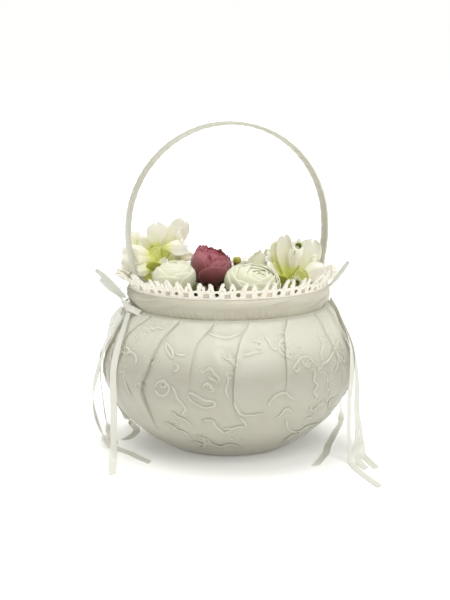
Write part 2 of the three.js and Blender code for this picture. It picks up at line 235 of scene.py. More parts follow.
# ---------------------------------------------------------------- materials
class Paint:
    """A node material with short ways to add and join nodes."""

    def __init__(self, name):
        self.material = bpy.data.materials.new(name)
        self.material.use_nodes = True
        self.tree = self.material.node_tree
        self.shader = self.tree.nodes["Principled BSDF"]

    def add(self, kind, *inputs, **settings):
        node = self.tree.nodes.new("ShaderNode" + kind)
        for key, value in settings.items():
            if key in node.bl_rna.properties:
                setattr(node, key, value)
            else:
                self.join(value, node.inputs[key.replace("_", " ")])
        for k, value in enumerate(inputs):
            if value is not None:
                self.join(value, node.inputs[k])
        return node

    def join(self, value, socket):
        if isinstance(value, bpy.types.NodeSocket):
            self.tree.links.new(value, socket)
        else:
            socket.default_value = value

    def set(self, **inputs):
        for key, value in inputs.items():
            self.join(value, self.shader.inputs[key.replace("_", " ")])

    def math(self, operation, *inputs):
        return self.add("Math", *inputs, operation=operation).outputs[0]

    def mix(self, factor, a, b):
        node = self.add("Mix", data_type="RGBA")
        for socket, value in zip((node.inputs[0], node.inputs[6], node.inputs[7]), (factor, a, b)):
            self.join(value, socket)
        return node.outputs[2]

    def noise(self, vector, scale, detail=2.0, rough=0.5):
        node = self.add("TexNoise", Scale=scale, Detail=detail, Roughness=rough)
        self.join(vector, node.inputs["Vector"])
        return node.outputs["Fac"]

    def stretch(self, vector, x, y, z=1.0):
        return self.add("Mapping", vector, Scale=(x, y, z)).outputs[0]

    def share(self, value, start, end):
        """A soft run from 0 to 1 as the value goes from start to end."""
        node = self.add("MapRange", value, start, end, 0.0, 1.0, interpolation_type="SMOOTHSTEP")
        return node.outputs[0]

    def ramp(self, position, stops):
        """Colours at places from 0 to 1."""
        node = self.add("ValToRGB", position)
        fill_ramp(node.color_ramp.elements, stops)
        return node.outputs[0]

    def cells(self, vector, scale):
        return self.add("TexVoronoi", Scale=scale, Vector=vector).outputs["Distance"]

    def bump(self, height, depth):
        return self.add("Bump", Strength=1.0, Distance=depth, Height=height).outputs[0]

    def place(self):
        return self.add("TexCoord").outputs["Object"]

    def cloth(self):
        return self.add("TexCoord").outputs["UV"]


def fill_ramp(elements, stops):
    """Sets a colour ramp, which starts with two elements, to the stops' places and colours."""
    for at, _ in stops[1:-1]:
        elements.new(at)
    for element, (at, colour) in zip(elements, stops):
        element.position = at
        element.color = colour


def shaded(colour, share):
    """A colour darkened to a share of its light."""
    return (*(c * share for c in colour[:3]), 1.0)


def linear(c):
    """One 0-255 display value as linear light."""
    return c / 255 / 12.92 if c <= 10 else ((c / 255 + 0.055) / 1.055) ** 2.4


def rgb(r, g, b):
    """A colour from 0-255 display values, as linear light."""
    return (linear(r), linear(g), linear(b), 1.0)


PAINTED_SHADE_HEIGHT = 0.034  # satin given a lighter top colour also gets painted shade below this height, near the table
PAINTED_SHADE_SHARE = 0.76
THREAD_DEPTH = 0.00006
VEIN_DEPTH = 0.00012


def satin(name, light, dark, rough=0.38, sheen=0.25, thread=0.35, translucent=0.0, painted_top_highlight=None,
          rise=(0.072, 0.104), painted_glow=0.0):
    """Satin: long floating threads, cross threads, slubs and soft changes of colour and gloss.

    Given a top colour, it fades to it between the two heights of `rise`, a painted highlight on its upper
    part, and it gets painted shade near the table. Heights are in metres."""
    p = Paint(name)
    place, cloth = p.place(), p.cloth()
    warp = p.noise(p.stretch(cloth, 1 / thread, 1 / (12 * thread)), 1.0, 1.0)
    weft = p.noise(p.stretch(cloth, 1 / (8 * thread), 1 / thread), 1.0, 1.0)
    patch = p.noise(place, 38.0, 3.0, 0.55)
    slub = p.noise(p.stretch(cloth, 0.9, 0.06), 1.0, 3.0, 0.6)
    colour = p.mix(patch, light, dark)
    colour = p.mix(p.math("MULTIPLY", slub, 0.22), colour, dark)
    if painted_top_highlight:
        height = p.add("SeparateXYZ", place).outputs["Z"]
        # painted shade: darker towards the table
        colour = p.mix(p.share(height, PAINTED_SHADE_HEIGHT, 0.0), colour, shaded(dark, PAINTED_SHADE_SHARE))
        # painted highlight: lighter on the upper part, where the light from above falls
        colour = p.mix(p.share(height, *rise), colour, painted_top_highlight)
    gloss = p.math("MULTIPLY_ADD", warp, 0.16, rough - 0.08)
    height = p.math("ADD", p.math("MULTIPLY", warp, 0.7), p.math("MULTIPLY", weft, 0.3))
    # the emission is painted light: with a strength given, the satin gives off a little light of its own
    p.set(
        Base_Color=colour,
        Roughness=p.math("MULTIPLY_ADD", slub, 0.12, gloss),
        Sheen_Weight=sheen,
        Sheen_Roughness=0.4,
        Anisotropic=0.35,
        Normal=p.bump(height, THREAD_DEPTH),
        Emission_Color=colour,
        Emission_Strength=painted_glow,
    )
    if translucent:
        p.set(Transmission_Weight=translucent, IOR=1.05)
    return p.material


# the cover's lighter top colour is a painted highlight on the shoulder, and it gets painted shade near the
# table
COVER_SATIN = satin("cover_satin", rgb(196, 194, 181), rgb(182, 178, 162), rough=0.34,
                    painted_top_highlight=rgb(228, 226, 210))


# ---------------------------------------------------------------- ribbon tails
RIBBON_WIDTH = 6.0
RIBBON_THICKNESS = 0.28
TAIL_STEP = 2.0
ROUTE_FLOOR = 3.4  # the height of the routes' points where the ribbon lies on the table
FLAT_RISE = 0.45  # the middle of a ribbon that lies flat
LANDING = (3.6, 16)  # the heights between which a tail turns from hanging to lying flat
EDGE_RISE = 2.6  # how much higher it is when the ribbon stands on its edge
CUT_SLANT = 2.2

# the ribbon satin gives off a little painted light of its own, lifting its shaded faces
RIBBON_SATIN = satin("ribbon_satin", rgb(238, 237, 227), rgb(222, 221, 209), rough=0.3, sheen=0.2,
                     thread=0.25, painted_glow=0.05)

# The tails' routes, in millimetres, and how far each ribbon is twisted off the bowl's side on its
# way down: (share of the way, degrees).
TAILS = {
    "left_tail_1": (
        [
            (-91, -4, 113), (-92, 4, 107), (-96, 8, 98), (-102, 11, 86),
            (-106, 14, 72), (-109, 17, 58), (-111, 20, 44), (-110, 20, 31),
            (-107, 20, 19), (-103, 16, 9), (-99, 9, 4.2), (-94, -1, 3.4),
            (-89, -14, 3.4), (-85, -29, 3.4), (-81, -41, 3.4),
        ],
        [(0, 35), (0.15, 10), (0.35, -20), (0.55, 25), (0.72, 10), (1, 0)],
    ),
    "left_tail_2": (
        [
            (-91, 4, 113), (-92, 15, 105), (-93, 26, 96), (-95, 36, 85),
            (-97, 46, 73), (-96, 52, 60), (-95, 56, 47), (-93, 58, 34),
            (-92, 57, 22), (-91, 54, 12), (-90, 48, 5.5), (-91, 37, 3.4),
            (-92, 27, 3.4), (-94, 18, 3.4),
        ],
        [(0, -20), (0.3, 15), (0.6, -25), (0.8, 0), (1, 0)],
    ),
    "left_tail_3": (
        [
            (-88, -9, 116), (-92, -11, 106), (-96, -14, 97), (-100, -17, 87),
            (-104, -20, 73), (-105, -22, 57), (-105, -23, 41), (-106, -25, 27),
            (-107, -29, 15), (-110, -36, 6), (-112, -43, 3.5), (-115, -52, 3.4),
            (-117, -62, 3.4),
        ],
        [(0, -10), (0.2, -25), (0.5, -34), (0.75, -24), (0.9, -5), (1, 0)],
    ),
    "left_tail_4": (
        [
            (-88, 9, 116), (-90, 28, 106), (-90, 39, 99), (-89, 50, 90),
            (-88, 60, 79), (-87, 67, 66), (-84, 71, 52), (-81, 74, 38),
            (-76, 74, 25), (-70, 72, 13), (-65, 70, 5.5), (-63, 61, 3.4),
            (-66, 50, 3.4), (-73, 38, 3.4), (-82, 28, 3.4),
        ],
        [(0, 0), (0.3, -15), (0.6, 20), (0.8, 0), (1, 0)],
    ),
    "right_tail_1": (
        [
            (91, -4, 113), (90, -15, 108), (91, -27, 99), (92, -39, 88),
            (91, -51, 77), (88, -60, 65), (86, -67, 52), (84, -71, 38),
            (84, -74, 25), (83, -76, 13), (80, -82, 5), (77, -92, 3.4),
            (74, -104, 3.4), (73, -115, 3.4),
        ],
        [(0, 0), (0.3, -20), (0.6, 15), (0.8, 5), (1, 0)],
    ),
    "right_tail_2": (
        [
            (88, -9, 116), (89, -19, 110), (88, -31, 104), (87, -44, 96),
            (85, -57, 87), (80, -71, 76), (76, -79, 64), (72, -84, 50),
            (71, -86, 36), (70, -88, 22), (70, -91, 10), (68, -100, 4),
            (65, -114, 3.4), (64, -129, 3.4), (63, -146, 3.4), (63, -159, 3.4),
        ],
        [(0, 0), (0.35, 20), (0.65, -10), (0.8, 0), (1, 0)],
    ),
    "right_tail_3": (
        [
            (88, 9, 116), (92, 6, 107), (96, 10, 97), (100, 15, 84),
            (105, 18, 70), (106, 20, 56), (109, 20, 42), (110, 19, 28),
            (112, 18, 15), (110, 12, 5.5), (102, 1, 3.4), (92, -14, 3.4),
            (82, -30, 3.4), (71, -47, 3.4), (61, -65, 3.4), (50, -80, 3.4),
            (39, -94, 3.4),
        ],
        [(0, 20), (0.25, 32), (0.45, 40), (0.6, 15), (0.8, 5), (1, 0)],
    ),
    "right_tail_4": (
        [
            (91, 4, 113), (93, -7, 106), (96, -16, 97), (99, -25, 84),
            (99, -36, 70), (97, -45, 56), (94, -53, 43), (92, -58, 30),
            (92, -64, 18), (90, -70, 8), (87, -78, 3.7), (85, -90, 3.4),
            (83, -103, 3.4), (81, -116, 3.4),
        ],
        [(0, 10), (0.3, 30), (0.6, 18), (0.8, 0), (1, 0)],
    ),
}


def ribbon(line, normal, width, thickness, slant=0.0):
    """Rings of a flat ribbon, slightly cupped, with woven edges; its far end is cut on a slant."""
    half, t = width / 2, thickness / 2
    x = np.array([-1, -0.93, -0.6, -0.2, 0.2, 0.6, 0.93, 1])
    cup = 0.25 * (x**2 - 0.4)
    edge = np.where(abs(x) > 0.9, 1.5, 1.0)
    top = np.stack([x * half, cup + t * edge], axis=1)
    under = np.stack([x * half, cup - t * edge], axis=1)[::-1]
    section = np.vstack([top, under])
    rings = sweep(line, normal, section)
    if slant:
        along = tangents(line)
        near = smooth(np.arange(len(line)), len(line) - 5, len(line) - 1)
        rings = rings + along[:, None] * (near[:, None, None] * section[None, :, :1] / half * slant)
    return rings


def strip_uv(rings, step):
    """Cloth coordinates in millimetres for a tube's quads, across and along."""
    n, k = rings.shape[:2]
    _, spots = grid(n, k, wrap_columns=True)
    size = np.linalg.norm(rings[0] - np.roll(rings[0], 1, axis=0), axis=1).sum() / k
    quads = spots * (size, step)
    caps = np.zeros((2 * k, 2))
    return np.vstack([quads, caps])


def make_tail(name, route, twists):
    line = catmull(route, TAIL_STEP)
    share = np.linspace(0, 1, len(line))
    angle = np.radians(smoothed(np.interp(share, *np.array(twists).T), np.ones(9) / 9))
    # the ribbon lies flat where its route runs along the table
    z = line[:, 2]
    on_floor = 1 - smooth(z, *LANDING)
    line[:, 2] = z - on_floor * (ROUTE_FLOOR - FLAT_RISE - EDGE_RISE * abs(np.sin(angle)))
    out = unit(line * (1, 1, 0))
    normal = unit(out * (1 - on_floor[:, None]) + np.array([0, 0, 1.0]) * on_floor[:, None])
    along = tangents(line)
    normal = turn(square_to(normal, along), along, angle)
    rings = ribbon(line, normal, RIBBON_WIDTH, RIBBON_THICKNESS, slant=CUT_SLANT)
    points, faces = tubes([rings])
    obj = build(name.replace("tail", "ribbon_tail"), points, faces, RIBBON_SATIN, "ribbon",
                replaces=[name], uv=strip_uv(rings, TAIL_STEP))


for tail_name, (tail_route, tail_twists) in TAILS.items():
    make_tail(tail_name, tail_route, tail_twists)


# ---------------------------------------------------------------- cover
# The bowl's outside, from the foot to the neck: (radius, height).
SIDE = [
    (49.6, 0.6), (62.3, 8), (74.7, 18), (87.8, 30), (96.3, 44), (103.1, 60),
    (101.5, 76), (95.7, 90), (90.4, 102), (86.8, 110), (84, 113.8), (80.9, 116.6),
]
side_table = profile_line(SIDE, 0.25)
side_tangent = tangents(side_table)
side_run = arc_lengths(side_table)


def side_at(z, values=side_table[:, 0]):
    """The bowl's radius, or other values that go with side_table, at heights."""
    return np.interp(z, side_table[:, 1], values)



# Raised cords stitched on the satin at the front, as lines of (degrees, height).
FRONT_SCROLLS = [
    [(218, 100), (221, 97), (223, 94), (224, 89)],
    [(218, 100), (219, 96), (221, 92), (224, 89)],
    [(217, 66), (218, 70), (220, 72), (223, 70), (224, 67), (223, 63),
     (220, 61), (218, 63), (217, 66)],
    [(220, 70), (221, 73), (222, 71), (222, 68), (220, 68), (220, 70)],
    [(225, 69), (227, 65), (228, 60), (230, 56), (231, 52)],
    [(224, 48), (226, 44), (228, 43), (230, 41), (232, 36)],
    [(230, 56), (231, 52), (230, 49), (228, 45)],
    [(232, 64), (234, 65), (237, 63), (240, 60), (244, 59), (244, 56),
     (240, 54), (237, 56), (234, 59), (232, 64)],
    [(239, 71), (241, 73), (243, 70), (244, 66)],
    [(240, 82), (242, 84), (244, 80), (246, 77), (246, 74)],
    [(241, 78), (243, 76), (245, 75)],
    [(238, 41), (240, 43), (243, 42), (244, 38), (246, 34), (248, 31),
     (251, 33)],
    [(219, 37), (222, 33), (224, 31), (227, 29), (229, 25)],
    [(224, 93), (228, 92), (230, 93)],
    [(225, 85), (227, 84), (227, 81), (225, 80)],
    [(192, 84), (198, 88), (203, 85), (204, 80)],
    [(198, 67), (200, 61), (202, 56)],
    [(268, 53), (268, 58), (271, 63), (275, 64), (277, 61), (280, 57)],
    [(273, 43), (275, 46), (276, 50), (278, 50), (280, 46)],
    [(278, 41), (282, 31), (290, 25), (294, 25), (296, 28), (310, 26)],
    [(268, 106), (270, 102), (271, 98), (273, 96), (274, 98)],
    [(276, 108), (278, 108), (280, 106), (279, 103), (276, 101),
     (275, 98), (276, 93), (279, 90), (281, 88)],
    [(276, 101), (278, 102), (279, 98), (278, 95), (277, 96), (276, 99),
     (276, 101)],
    [(262, 103), (264, 103), (266, 101), (265, 98), (263, 99)],
    [(257, 93), (260, 94), (263, 95), (266, 95)],
    [(280, 81), (282, 84), (284, 86), (286, 88), (289, 88), (291, 85),
     (292, 81)],
    [(280, 81), (281, 79), (283, 80), (283, 83)],
    [(286, 88), (286, 84), (288, 81), (290, 82)],
    [(289, 78), (291, 78), (291, 74), (290, 70), (292, 66), (290, 61),
     (292, 57), (292, 54)],
    [(290, 49), (293, 44), (296, 47), (298, 50), (300, 46)],
    [(290, 37), (293, 38), (295, 36)],
    [(310, 100), (312, 94), (313, 90), (307, 85), (302, 82), (296, 80)],
    [(308, 41), (305, 48), (308, 50)],
    [(248, 35), (252, 35), (256, 37), (258, 36)],
    [(255, 46), (258, 40), (259, 35)],
    [(253, 59), (254, 53), (256, 48), (261, 47), (266, 48)],
    [(239, 110), (244, 107), (250, 106), (256, 109)],
    [(185, 92), (190, 90), (189, 87), (194, 86)],
    [(191, 91), (196, 89), (196, 85)],
    [(205, 110), (209, 108), (211, 110), (215, 109)],
    [(229, 20), (234, 17), (240, 18), (245, 15), (251, 18), (257, 15)],
    [(301, 102), (302, 94), (298, 87), (299, 82)],
    [(312, 86), (310, 78), (305, 72)],
    [(247, 96), (249, 91), (252, 90), (254, 86)],
    [(249, 82), (250, 76), (249, 68), (250, 62)],
    [(250, 94), (251, 91), (252, 88), (254, 85), (253, 83)],
]


def leaf(length, width):
    """A pointed leaf's outline and rib, from its foot at the origin along +x."""
    t = np.linspace(0, 1, 9)
    side = width / 2 * np.sin(math.pi * t**0.8)
    edge = np.stack([t * length, side], axis=1)
    other = edge[::-1] * (1, -1)
    rib = np.stack([t[1:-1] * length * 0.8, 0.12 * width * np.sin(TAU * t[1:-1])], axis=1)
    return [np.vstack([edge, other[1:]]), rib]


def curl(size, turns, sign=1):
    a = np.linspace(0, turns * TAU, int(14 * turns) + 4)
    r = size * (1 - 0.78 * a / a[-1])
    return [np.stack([size - r * np.cos(a), sign * r * np.sin(a)], axis=1)]


def blossom(radius, petals):
    lines = []
    for k in range(petals):
        middle = TAU * k / petals
        a = np.linspace(-1, 1, 9)
        r = radius * (0.35 + 0.65 * np.sqrt(np.clip(1 - a**2, 0, 1)) ** 0.8)
        angle = middle + a * math.pi / petals * 0.96
        lines.append(np.stack([r * np.cos(angle), r * np.sin(angle)], axis=1))
    ring = np.linspace(0, TAU, 10)
    lines.append(np.stack([np.cos(ring), np.sin(ring)], axis=1) * radius * 0.24)
    return lines


def motif(kind, rng):
    """A small stitched figure as lines in millimetres."""
    if kind == 0:
        lines = blossom(rng.uniform(6.5, 8.5), 5)
        return lines + [line + (10, 0) for line in leaf(9, 4)]
    if kind == 1:
        stem = np.stack([np.linspace(-15, 13, 9), 3.4 * np.sin(np.linspace(0, 5.2, 9))], axis=1)
        lines = [stem] + [line + (-6, 2.4) for line in leaf(9, 4.4)]
        return lines + [line * (1, -1) + (3, -3) for line in leaf(8, 4)]
    if kind == 2:
        lines = curl(6.5, 1.15)
        return lines + [line * (-1, 1) for line in curl(5, 1.0, -1)]
    arc = np.linspace(0.2, 2.9, 9)
    lines = [np.stack([9 * np.cos(arc), 7 * np.sin(arc)], axis=1)]
    return lines + [line @ np.array([[0.5, 0.87], [-0.87, 0.5]]) + (-6, 3) for line in leaf(10, 4.6)]


FRONT_DEGREES = (186, 314)
STITCH_HEIGHTS = (7, 112.5)
MOTIF_ROWS = ((22, 11), (42, 12), (64, 13), (85, 13), (104, 12))  # height, count


def scatter_motifs():
    """Scroll lines on the back, and a few low ones at the front, as (degrees, height)."""
    rng = np.random.default_rng(21)
    lines = []
    for row, (z, count) in enumerate(MOTIF_ROWS):
        for k in range(count):
            middle = 360 * (k + 0.5 * (row % 2)) / count + rng.uniform(-4, 4)
            height = z + rng.uniform(-3.5, 3.5)
            angle, size = rng.uniform(0, TAU), rng.uniform(0.8, 1.05)
            figure = motif((k + row) % 4, rng)
            low_front = row == 0 and k % 2
            if FRONT_DEGREES[0] < middle < FRONT_DEGREES[1] and not low_front:
                continue
            c, s = math.cos(angle) * size, math.sin(angle) * size
            for line in figure:
                flat = line @ np.array([[c, s], [-s, c]])
                round_by = np.degrees(flat[:, 0] / side_at(height))
                lines.append(np.stack([middle + round_by, height + flat[:, 1] * 0.92], axis=1))
    low, high = STITCH_HEIGHTS
    return [line for line in lines if line[:, 1].min() > low and line[:, 1].max() < high]


DEGREE = 1.6  # millimetres round the bowl


def fine_line(line):
    """A scroll line as close points of (degrees, height)."""
    spots = np.array(line, float)
    flat = np.stack([spots[:, 0] * DEGREE, 0 * spots[:, 0], spots[:, 1]], axis=1)
    fine = catmull(flat, 0.9)
    return fine[:, 0] / DEGREE, np.clip(fine[:, 2], 1.5, 113.5)


def on_bowl(theta, z):
    return level(side_at(z), np.radians(theta), z)


SCROLL_LINES = [fine_line(line) for line in FRONT_SCROLLS + scatter_motifs()]
stitches = np.vstack([on_bowl(theta, z) for theta, z in SCROLL_LINES])
stitch_tree = kdtree.KDTree(len(stitches))
for number, spot in enumerate(stitches):
    stitch_tree.insert(spot, number)
stitch_tree.balance()


def quilted(theta, z):
    """How far the padded satin stands out between the scroll lines, and dips beside them."""
    spots = on_bowl(theta, z)
    distance = np.array([stitch_tree.find(spot)[2] for spot in spots.reshape(-1, 3)])
    distance = distance.reshape(spots.shape[:-1])
    return 0.55 * smooth(distance, 2.4, 9) - 0.5 * np.exp(-(((distance - 1.8) / 1.3) ** 2))


# Pleats are pressed in from the neck. Each crease: the degrees round the axis and heights that it
# runs through, how deep it is at the neck, the height where it fades, and the side that overlaps.
CREASES = [
    ([(5, 116), (2, 100), (0, 80), (0, 50)], 0.9, 52, 1),
    ([(29, 116), (24, 101), (22, 80), (21, 50)], 1.1, 45, 1),
    ([(50, 116), (47, 100), (45, 75), (44, 50)], 0.9, 60, 1),
    ([(72, 116), (68, 102), (66, 80), (66, 50)], 1.2, 42, 1),
    ([(93, 116), (91, 99), (88, 80), (87, 50)], 0.8, 62, 1),
    ([(115, 116), (110, 100), (109, 80), (108, 50)], 1.1, 48, 1),
    ([(137, 116), (133, 101), (130, 80), (129, 50)], 0.9, 56, 1),
    ([(159, 116), (155, 101), (152, 80), (151, 50)], 1.1, 44, 1),
    ([(181, 116), (174, 102), (171, 85), (170, 50)], 0.9, 55, 1),
    ([(203, 116), (194.4, 108), (187, 98), (184, 84), (183, 50)], 1.0, 58, 1),
    ([(223, 116), (214.4, 103.1), (212.2, 91.1), (211.5, 80), (209, 66), (210, 50), (210.3, 34)],
     1.5, 30, 1),
    ([(243, 116), (235.2, 104.5), (233.3, 96), (233, 80), (232.6, 50)], 1.0, 66, 1),
    ([(263.5, 116), (259.1, 109.4), (256.8, 102.9), (254.6, 90), (253.4, 76), (252.6, 62), (254, 48)],
     1.25, 46, -1),
    ([(285.5, 116), (280.3, 109), (279.2, 98), (277.8, 84), (276, 72), (275, 60)], 1.15, 62, -1),
    ([(306.5, 116), (308.5, 105), (310.2, 95), (311, 75), (311, 50)], 0.9, 60, -1),
    ([(326, 116), (329, 104), (331, 88), (332, 50)], 1.0, 50, -1),
    ([(346, 116), (349, 102), (351, 85), (352, 50)], 0.9, 56, -1),
]
CREASE_COUNT = len(CREASES)
CREASE_TOP = 116
CREASE_DEPTHS = np.array([depth for _, depth, _, _ in CREASES])
CREASE_FADES = np.array([fade for _, _, fade, _ in CREASES])
CREASE_LIPS = np.array([lip for _, _, _, lip in CREASES])
CREASE_KERNEL = np.hanning(17)[1:-1] / 8


def crease_line(path):
    """A crease's angle in degrees at each whole millimetre of height."""
    heights = np.linspace(0, CREASE_TOP, CREASE_TOP + 1)
    return smoothed(np.interp(heights, *np.array(path[::-1])[:, ::-1].T), CREASE_KERNEL)


crease_angles = np.array([crease_line(path) for path, _, _, _ in CREASES])


def crease_at(index, z):
    """The angle in degrees of creases, each a whole number, at heights."""
    low = np.clip(z, 0, CREASE_TOP - 0.01)
    i = low.astype(int)
    turns, k = np.divmod(index, CREASE_COUNT)
    a = crease_angles[k, i] * (1 - (low - i)) + crease_angles[k, i + 1] * (low - i)
    return a + 360 * turns


def crease_strength(index, z):
    k = index % CREASE_COUNT
    fade = CREASE_FADES[k]
    return CREASE_DEPTHS[k] * smooth(z, fade - 8, fade + 42) ** 0.75


small_folds = ripple(3, 9, 60, 130)
large_folds = ripple(4, 5, 17, 40)
sag = ripple(5, 5, 3, 9)


def pleated(theta, z):
    """How far the cover stands out, and shifts round, in millimetres, at degrees and heights."""
    theta = np.asarray(theta, float)
    z = np.asarray(z, float)
    index = np.floor((theta - 5) / (360 / CREASE_COUNT)).astype(int)
    for _ in range(3):
        index = np.where(theta < crease_at(index, z), index - 1, index)
        index = np.where(theta >= crease_at(index + 1, z), index + 1, index)
    left, right = crease_at(index, z), crease_at(index + 1, z)
    radius = side_at(z)
    from_left = np.radians(theta - left) * radius
    from_right = np.radians(right - theta) * radius
    width = np.radians(right - left) * radius
    out = np.zeros(np.broadcast(theta, z).shape)
    shift = np.zeros_like(out)
    for distance, which, sign in ((from_left, index, 1), (from_right, index + 1, -1)):
        a = crease_strength(which, z)
        # whether this side of the crease lies under the other side's fold
        under = CREASE_LIPS[which % CREASE_COUNT] == sign
        valley = -1.25 * a * np.exp(-distance / 4.2)
        fold = 1.15 * a * np.exp(-((distance - 0.6) / 4.6) ** 2)
        out += np.where(under, valley, fold)
        shift += np.where(under, 0, -sign * 1.5 * a * np.exp(-distance / 2.0))
    share = np.clip(from_left / width, 0, 1)
    # between two creases the satin puffs out towards the neck
    near_neck = smooth(z, 45, 106)
    out += 0.9 * near_neck * np.sin(math.pi * share) ** 0.8 - 0.25 * near_neck
    # fine gathers at the neck, broad ones lower down, and a slow sag
    rad = np.radians(theta)
    out += 0.30 * smooth(z, 78, 114) * small_folds(rad + 0.004 * (z - 100))
    out += 0.55 * smooth(z, 30, 90) * large_folds(rad + 0.002 * z)
    out += 0.5 * np.sin(np.clip(z / 116, 0, 1) * math.pi) * sag(rad + 0.012 * z)
    out += quilted(theta, z) * smooth(z, 2, 12)
    hem = smooth(z, 0.6, 9) * (1 - smooth(z, 115.2, 116.4))
    return out * hem, shift * hem


def cover_point(theta, z, lift=0.0):
    """Points of the satin's face, lifted along the bowl's normal."""
    out, shift = pleated(theta, z)
    radius = side_at(z)
    along_r, along_z = side_at(z, side_tangent[:, 0]), side_at(z, side_tangent[:, 1])
    size = np.hypot(along_r, along_z)
    nr, nz = along_z / size, -along_r / size
    r = radius + nr * (out + lift)
    angle = np.radians(theta) + shift / radius
    return level(r, angle, z + nz * (out + lift))


COVER_THICKNESS = 1.1
# The satin's edge, folded in under the neck band: (radius, height).
NECK_FLANGE = [(80.0, 117.4), (79.3, 117.7), (78.9, 116.2), (78.8, 114.6)]


def make_cover():
    per_pleat, rows, inner_rows = 38, 126, 9
    run = np.linspace(0, side_run[-1], rows)
    z = np.interp(run, side_run, side_table[:, 1])
    even = np.linspace(0, 1, per_pleat, endpoint=False)
    share = even - 0.62 * np.sin(TAU * even) / TAU  # closer columns at the creases
    pleat = np.repeat(np.arange(CREASE_COUNT), per_pleat)
    index, height = np.broadcast_arrays(pleat, z[:, None])
    left, right = crease_at(index, height), crease_at(index + 1, height)
    theta = left + (right - left) * np.tile(share, CREASE_COUNT)
    outer = cover_point(theta, height)
    last = np.radians(theta[-1])
    flange = np.stack([level(r, last, h) for r, h in NECK_FLANGE])
    inner_z = np.interp(np.linspace(0.985, 0.0, inner_rows) * side_run[-1], side_run, side_table[:, 1])
    picked = np.array([np.argmin(abs(z - h)) for h in inner_z])
    inner = cover_point(theta[picked], height[picked], -COVER_THICKNESS)
    points = np.vstack([outer.reshape(-1, 3), flange.reshape(-1, 3), inner.reshape(-1, 3)])
    total = rows + len(NECK_FLANGE) + inner_rows
    quads, spots = grid(total, theta.shape[1], wrap_rows=True, wrap_columns=True)
    # the cloth's run goes on round the folded edge and down the inner side
    folded = side_run[-1] + np.array([2, 4, 6, 7])
    turned_in = side_run[-1] + 10 + np.arange(inner_rows) * 14.0
    length = np.concatenate([run, folded, turned_in])
    across = np.radians(np.append(theta[0], theta[0, 0] + 360)) * 90
    uv = np.stack([across[spots[:, 0].astype(int)],
                   np.append(length, length[-1] + 1)[spots[:, 1].astype(int)]], axis=1)
    cover = build("satin_cover", points, quads, COVER_SATIN, "satin", replaces=["cover"], uv=uv)


make_cover()


# ---------------------------------------------------------------- scroll work
def ends_near(count):
    """How many steps each point of a line is from the nearer end."""
    steps = np.arange(count)
    return np.minimum(steps, steps[::-1])


def make_scrolls():
    """Couched cord: a half-round section with its foot under the satin's face, thin at its ends."""
    half, high, foot = 0.95, 0.75, -0.4
    a = np.linspace(0, math.pi, 7)
    section = np.vstack([np.stack([half * np.cos(a), high * np.sin(a)], axis=1), [[0, foot]]])
    rings_list = []
    for theta, z in SCROLL_LINES:
        middle, above = cover_point(theta, z), cover_point(theta, z, 1.0)
        taper = np.sqrt(np.clip(ends_near(len(theta)) / 3, 0.15, 1))
        rings_list.append(sweep(middle, above - middle, section * taper[:, None, None]))
    points, faces = tubes(rings_list)
    build("cover_scroll_cords", points, faces, SCROLL_SATIN, "satin")


# Patches of small raised knots in the stitching: degrees, height, spread in mm, how many.
KNOT_PATCHES = [
    (277, 99, 6, 34), (283, 92, 6, 30), (290, 84, 5, 22), (296, 78, 5, 24), (299, 68, 5, 20),
    (300, 57, 5, 20), (297, 46, 6, 26), (252, 88, 5, 18), (250, 80, 4, 14), (242, 70, 5, 16),
    (238, 82, 4, 12), (212, 88, 5, 16), (209, 66, 6, 22), (198, 98, 7, 36), (205, 106, 7, 30),
    (192, 84, 6, 24), (196, 72, 5, 14), (222, 34, 6, 18), (308, 96, 6, 26), (310, 78, 5, 16),
    (236, 22, 7, 18), (256, 24, 6, 14),
]


def knot_spots():
    """The knots' degrees, heights and sizes, with more patches round the back."""
    rng = np.random.default_rng(41)
    patches = list(KNOT_PATCHES)
    for degrees in range(324, 540, 18):
        patches += [(degrees + rng.uniform(-5, 5), rng.uniform(20, 60), 6, 18),
                    (degrees + 9 + rng.uniform(-5, 5), rng.uniform(66, 104), 6, 18)]
    spots = []
    for degrees, height, spread, count in patches:
        for _ in range(count):
            across, up = rng.normal(0, spread * 0.55, 2)
            spots.append((degrees + across * 0.6, min(height + up, 112), rng.uniform(0.55, 1.0)))
    return np.array(spots)


def make_knots():
    """French knots: low domes with a dimple, sewn over the satin."""
    spots = knot_spots()
    a = circle(8)
    heights = np.array([-0.3, 0.35, 0.75, 0.62])
    radii = np.array([1.0, 0.96, 0.55, 0.12])
    domes = []
    for theta, z, size in spots:
        ring_theta = theta + np.degrees(radii[:, None] * np.cos(a) * size / 95)
        ring_z = z + radii[:, None] * np.sin(a) * size
        flat = cover_point(ring_theta, ring_z)
        lifted = cover_point(ring_theta, ring_z, 1.0)
        domes.append(flat + (lifted - flat) * (heights * size)[:, None, None])
    points, faces = tubes(domes)
    build("cover_knots", points, faces, SCROLL_SATIN, "satin")


# the cords' lighter top colour is a painted highlight up high, and they get painted shade low down
SCROLL_SATIN = satin("scroll_satin", rgb(212, 210, 197), rgb(196, 194, 178), rough=0.4, thread=0.3,
                     painted_top_highlight=rgb(234, 232, 216))
make_scrolls()
make_knots()


# ---------------------------------------------------------------- neck band
# The padded band's profile: (radius, height).
BAND_OUTSIDE = [
    (77.2, 116.2), (78.5, 116.3), (79.6, 118.2), (81.2, 121.6), (82.9, 125.4), (83.7, 129),
    (83.1, 132), (81.3, 133.8),
]
BAND_INSIDE = [(81.3, 132.6), (81.4, 128), (81.4, 124.6), (78.6, 123.3), (76.9, 120.2), (76.8, 116.9)]


